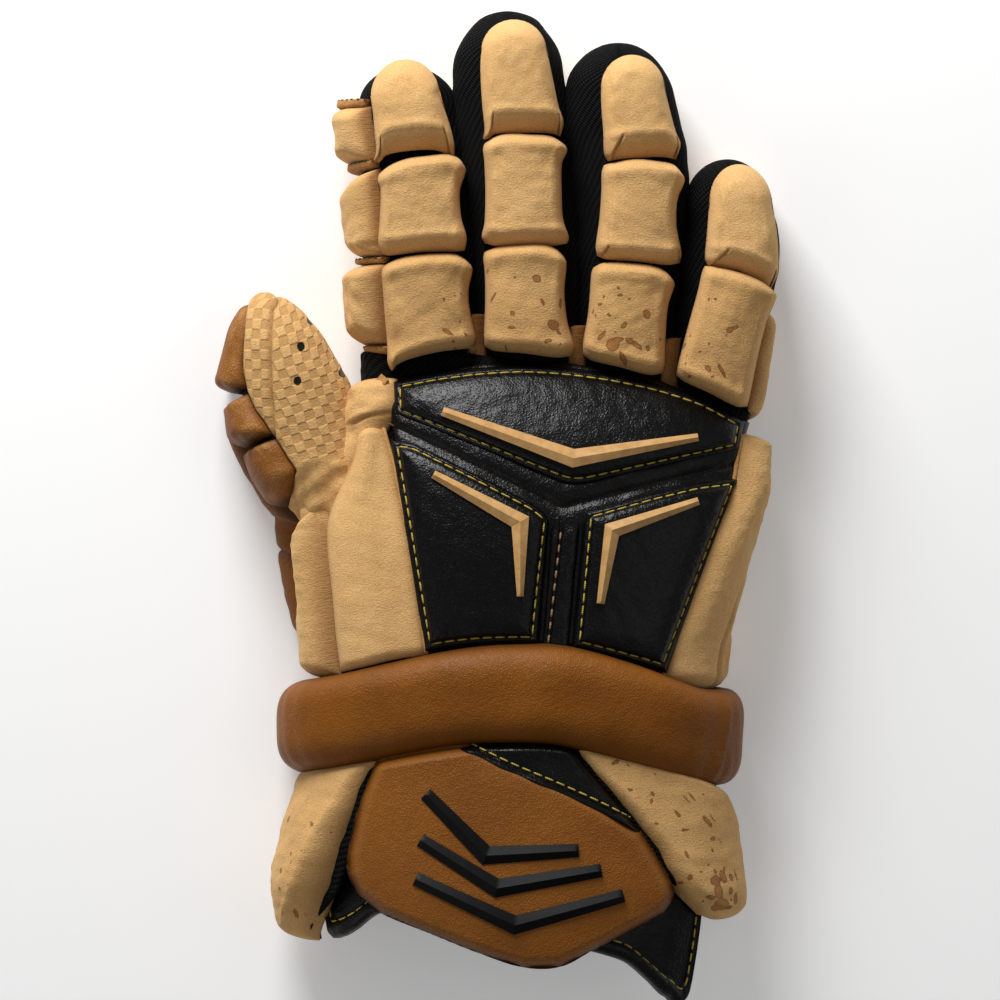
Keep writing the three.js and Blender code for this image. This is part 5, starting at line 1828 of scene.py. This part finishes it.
# How thick the flaps are: stations, and millimetres
LEFT_OUT = ((-148, -140, -134, -126, -117, -107, -97, -88), (12, 14, 15, 15.2, 13.6, 11.2, 8.4, 7))
RIGHT_OUT = ((-142, -135, -128, -120, -113, -106, -98, -88), (9, 9.6, 9.2, 8.2, 7.4, 7, 6.6, 6))
# The dark lining along each flap: the edge it follows, how far it shows beyond it, and its seed
LININGS = ((FLAP_LEFT_EDGE, 4.6, 260), (FLAP_RIGHT_EDGE, -2.2, 262))


def below_band(patch):
    """How far each point lies past the band's lower edge."""
    return band_middle(patch.angle) - BAND_HALF - BAND_LAP - patch.station


def add_liner():
    """The black leather sheet under the cuff's pads, hemmed and stitched along its lower edge."""
    rows, columns = 64, 200
    q = np.linspace(0, 1, rows)[:, None]
    angle = (-100 + 200 * np.linspace(0, 1, columns)[None, :]) + 0 * q
    station = table(*np.array(LINER_END, float).T, angle) * (1 - q) + (-70) * q
    patch = Patch(hand, station, angle, SEAM, SEAM + LINER)
    edge = np.minimum(patch.near, np.minimum(patch.left, patch.right))
    hem = 0.9 * edge_round(edge + 0.1, 2) * ramp((6.2 - edge) / 2.4) - 0.3 * bell(edge - 5.6, 0.5)
    patch.height = np.clip(LINER * (0.8 + hem + 0.08 * wobble(patch.grid, 12, 220)), 0.3, LINER * 1.7)
    # Painted highlight on the rolled hem near the edge, and painted shade in the stitched groove.
    masks = {"crown": 0.4 * bell(edge - 1.6, 1.2), "crease": 0.4 * bell(edge - 5.6, 0.6)}
    cover("cuff_liner_sheet", patch, BLACK, "black_leather", "cuff_liner", **masks)
    stitch_line(yellow, patch.sample(*patch.line("near", 5.6, 6).T, 0.05), 3.6, 0.5, 0.29)


def add_black_strip():
    """The rolled leather strip over the cuff pad, flattened under the right flap and the band."""
    p = np.linspace(0, 1, STRIP_POINTS)
    plan = ruled(curve(BLACK_STRIP, p), curve(BLACK_STRIP_FAR, p), 120, 44, 0.3)
    patch = on_tube(hand, plan, ON_LINER, ON_LINER + 7)
    roll = 0.8 * edge_round(patch.near + 0.1, 1.8) + 0.9 * bell(patch.near - 1.6, 1.2)
    roll = roll - 0.4 * bell(patch.near - 3.6, 0.5)
    under_flap = patch.grid[..., 0] - along_line(FLAP_RIGHT_EDGE, patch.grid[..., 1])
    low = (1 - 0.6 * ramp((under_flap + 3) / 4)) * (0.4 + 0.6 * ramp((below_band(patch) + 0.5) / 3))
    patch.height = (6.4 + 1.2 * roll) * low + 0.25 * wobble(patch.grid, 9, 222)
    patch.height = patch.height * edge_round(patch.near + 0.3, 1.6) * (0.5 + 0.5 * ramp(patch.far / 5))
    patch.height = np.clip(patch.height, 0.4, None)
    # Painted shade in the groove behind the rolled edge.
    cover("cuff_black_strip", patch, BLACK, "black_leather", crease=0.5 * bell(patch.near - 3.6, 0.6))
    stitch_line(yellow, patch.sample(*patch.line("near", 4.2).T, 0.05), 3.6, 0.5, 0.29)


def add_cuff_pad():
    """The six-sided leather pad, round-shouldered and slightly domed."""
    left, right, low, far = CUFF_OUTLINE.values()
    patch = on_tube(hand, bounded(left, right, low, far, 116, 140), ON_LINER, ON_LINER + CUFF_PAD * 0.7)
    ring = (*left, *far, *right[::-1], *low[::-1], left[0])
    rim = distance_to(patch.plan, resample(ring, np.linspace(0, 1, 500)))
    height = 0.1 + 0.78 * edge_round(rim + 0.1, 4.2) + 0.12 * edge_round(rim, 26)
    height = np.clip(height + 0.014 * wobble(patch.grid, 20, 230), 0.1, 1.02)
    patch.height = height * CUFF_PAD * (0.5 + 0.5 * ramp((below_band(patch) + 0.5) / 4))
    # Painted highlight: the whole pad is paled a little, and more on a ring just inside its rim; painted
    # shade along the rim, which rolls under.
    masks = {"crown": 0.1 + 0.12 * bell(rim - 3, 1.4), "crease": unit(0.9 * bell(rim, 1.3))}
    cover("cuff_pad_cover", patch, BROWN, "brown_leather", "cuff_pad", 0.9, **masks)


def add_flaps():
    """The two speckled pads at the cuff's sides."""
    last = angles_under(FLAP_LEFT_EDGE, ON_LINER + 4)
    near = (-136, -140.5, -145, -148, -147.8)
    patch = round_tube(hand, near, (-90, -86), (-104, -106), last, 96, 72, ON_LINER, 12)
    add_flap("cuff_flap_left", patch, thickness(LEFT_OUT, patch), (9, 6), (9, 6), 240)
    first = angles_under(FLAP_RIGHT_EDGE, ON_LINER + 4)
    last = (104, 103, 100, 94, 86, 76)
    near = (-138.4, -140.6, -140.4, -138)
    patch = round_tube(hand, near, (-80, -97), first, last, 96, 96, ON_LINER, 9)
    add_flap("cuff_flap_right", patch, thickness(RIGHT_OUT, patch), (6, 8), (7, 6), 250)


def add_flap_lining():
    """The dark lining that shows along the flaps' inner edges, narrowing at their low ends."""
    lining = Shape()
    for edge_line, out, seed in LININGS:
        inner = np.array(edge_line, float)
        share = np.clip(np.arange(len(inner)) / 2, 0.15, 1)[:, None]
        outer = inner + np.array([out, -0.6]) * share
        plan = ruled(inner - np.array([0.6 * np.sign(out) * 4, 0]), outer, 80, 18, 0.3)
        patch = on_tube(hand, plan, ON_LINER - 0.6, ON_LINER + 3)
        patch.height = 1.0 + 3.4 * edge_round(patch.far + 0.2, 3) + 0.3 * wobble(patch.grid, 7, seed)
        patch.height = patch.height * edge_round(np.minimum(patch.left, patch.right) + 0.4, 3)
        patch.into(lining)
    make("flap_lining", lining, MESH)


def add_flap(name, patch, thick, sides, ends, seed):
    """One speckled flap."""
    soft_roll(patch, thick, sides, ends, seed, 0.025)
    # Painted shade along the flap's edges; the splashes are print.
    masks = {"crease": 0.6 * bell(patch.edge(), 0.9), "spot": splash_distance(patch.top(), SPLASHES[name])}
    cover(f"{name}_cover", patch, SPECKLED, "speckled_suede", name, 0.85, **masks)


# Build

for k, (name, tube) in enumerate(fingers.items()):
    add_sleeve(name, tube, roots[name], 10 + 2 * k)
    add_underside(name, tube, roots[name], 20 + k)
for k, (name, pad) in enumerate(FINGER_PADS.items()):
    add_finger_pad(name, pad, 300 + 3 * k)
add_index_rolls()
add_index_tabs()
add_index_root_side()
add_pinky_roll()
add_fourchettes()
add_back_sheet()
add_panels()
add_centre_channel()
add_side_pads()
add_web_roll()
add_web_tag()
add_hand_and_thumb()
add_palm()
add_band()
add_liner()
add_black_strip()
add_cuff_pad()
add_flaps()
add_flap_lining()
add_bars()
make("yellow_stitching", yellow, YELLOW)
make("channel_stitching", tan_thread, TAN_THREAD)
make("tab_stitching", dark_thread, DARK_THREAD)


# Stage


FLOOR_REACH, FLOOR_HEIGHT, FLOOR_GLOW, SKY = 3.0, -0.0004, 0.2, 0.16
# Square lamps: where each stands, its side and its power
LAMPS = {
    "key": ((-0.3, 1.02, 0.52), 0.5, 16.8),
    "fill": ((0.9, 0.1, 1.3), 1.0, 1.5),
    "low": ((-0.9, -0.7, 0.9), 1.0, 2.2),
}


def add_floor():
    """A pale floor with a faint glow of its own."""
    mesh = bpy.data.meshes.new("floor")
    corners = [(x * FLOOR_REACH, y * FLOOR_REACH, 0) for x, y in ((-1, -1), (1, -1), (1, 1), (-1, 1))]
    mesh.from_pydata(corners, [], [(0, 1, 2, 3)])
    floor = placed("floor", mesh)
    floor.location.z = FLOOR_HEIGHT
    n = Nodes("floor")
    n.set(Base_Color=(0.95, 0.95, 0.95, 1), Roughness=0.9)
    n.set(Emission_Color=(1, 1, 1, 1), Emission_Strength=FLOOR_GLOW)
    mesh.materials.append(n.material)


def add_light():
    """Even light from all round, and the lamps, each turned to the glove."""
    world = bpy.data.worlds.new("studio")
    bpy.context.scene.world = world
    world.use_nodes = True
    background = world.node_tree.nodes["Background"]
    background.inputs["Color"].default_value = (1, 1, 1, 1)
    background.inputs["Strength"].default_value = SKY
    for name, (where, size, power) in LAMPS.items():
        light = bpy.data.lights.new(name, "AREA")
        light.size = size
        light.energy = power
        lamp = placed(name, light)
        lamp.location = where
        lamp.rotation_euler = (-Vector(where)).to_track_quat("-Z", "Y").to_euler()


def add_camera():
    """Straight above, with a third of a millimetre to a pixel at the glove's middle height."""
    camera = bpy.data.cameras.new("camera")
    distance, height, frame_width, sensor = 2.5, 0.045, 1.0 / 3, 36
    camera.sensor_width = sensor
    camera.lens = sensor * (distance - height) / frame_width
    camera.clip_end = 20
    obj = placed("camera", camera)
    obj.location = (0, 0, distance)
    bpy.context.scene.camera = obj
    bpy.context.scene.view_settings.view_transform = "Standard"


add_floor()
add_light()
add_camera()
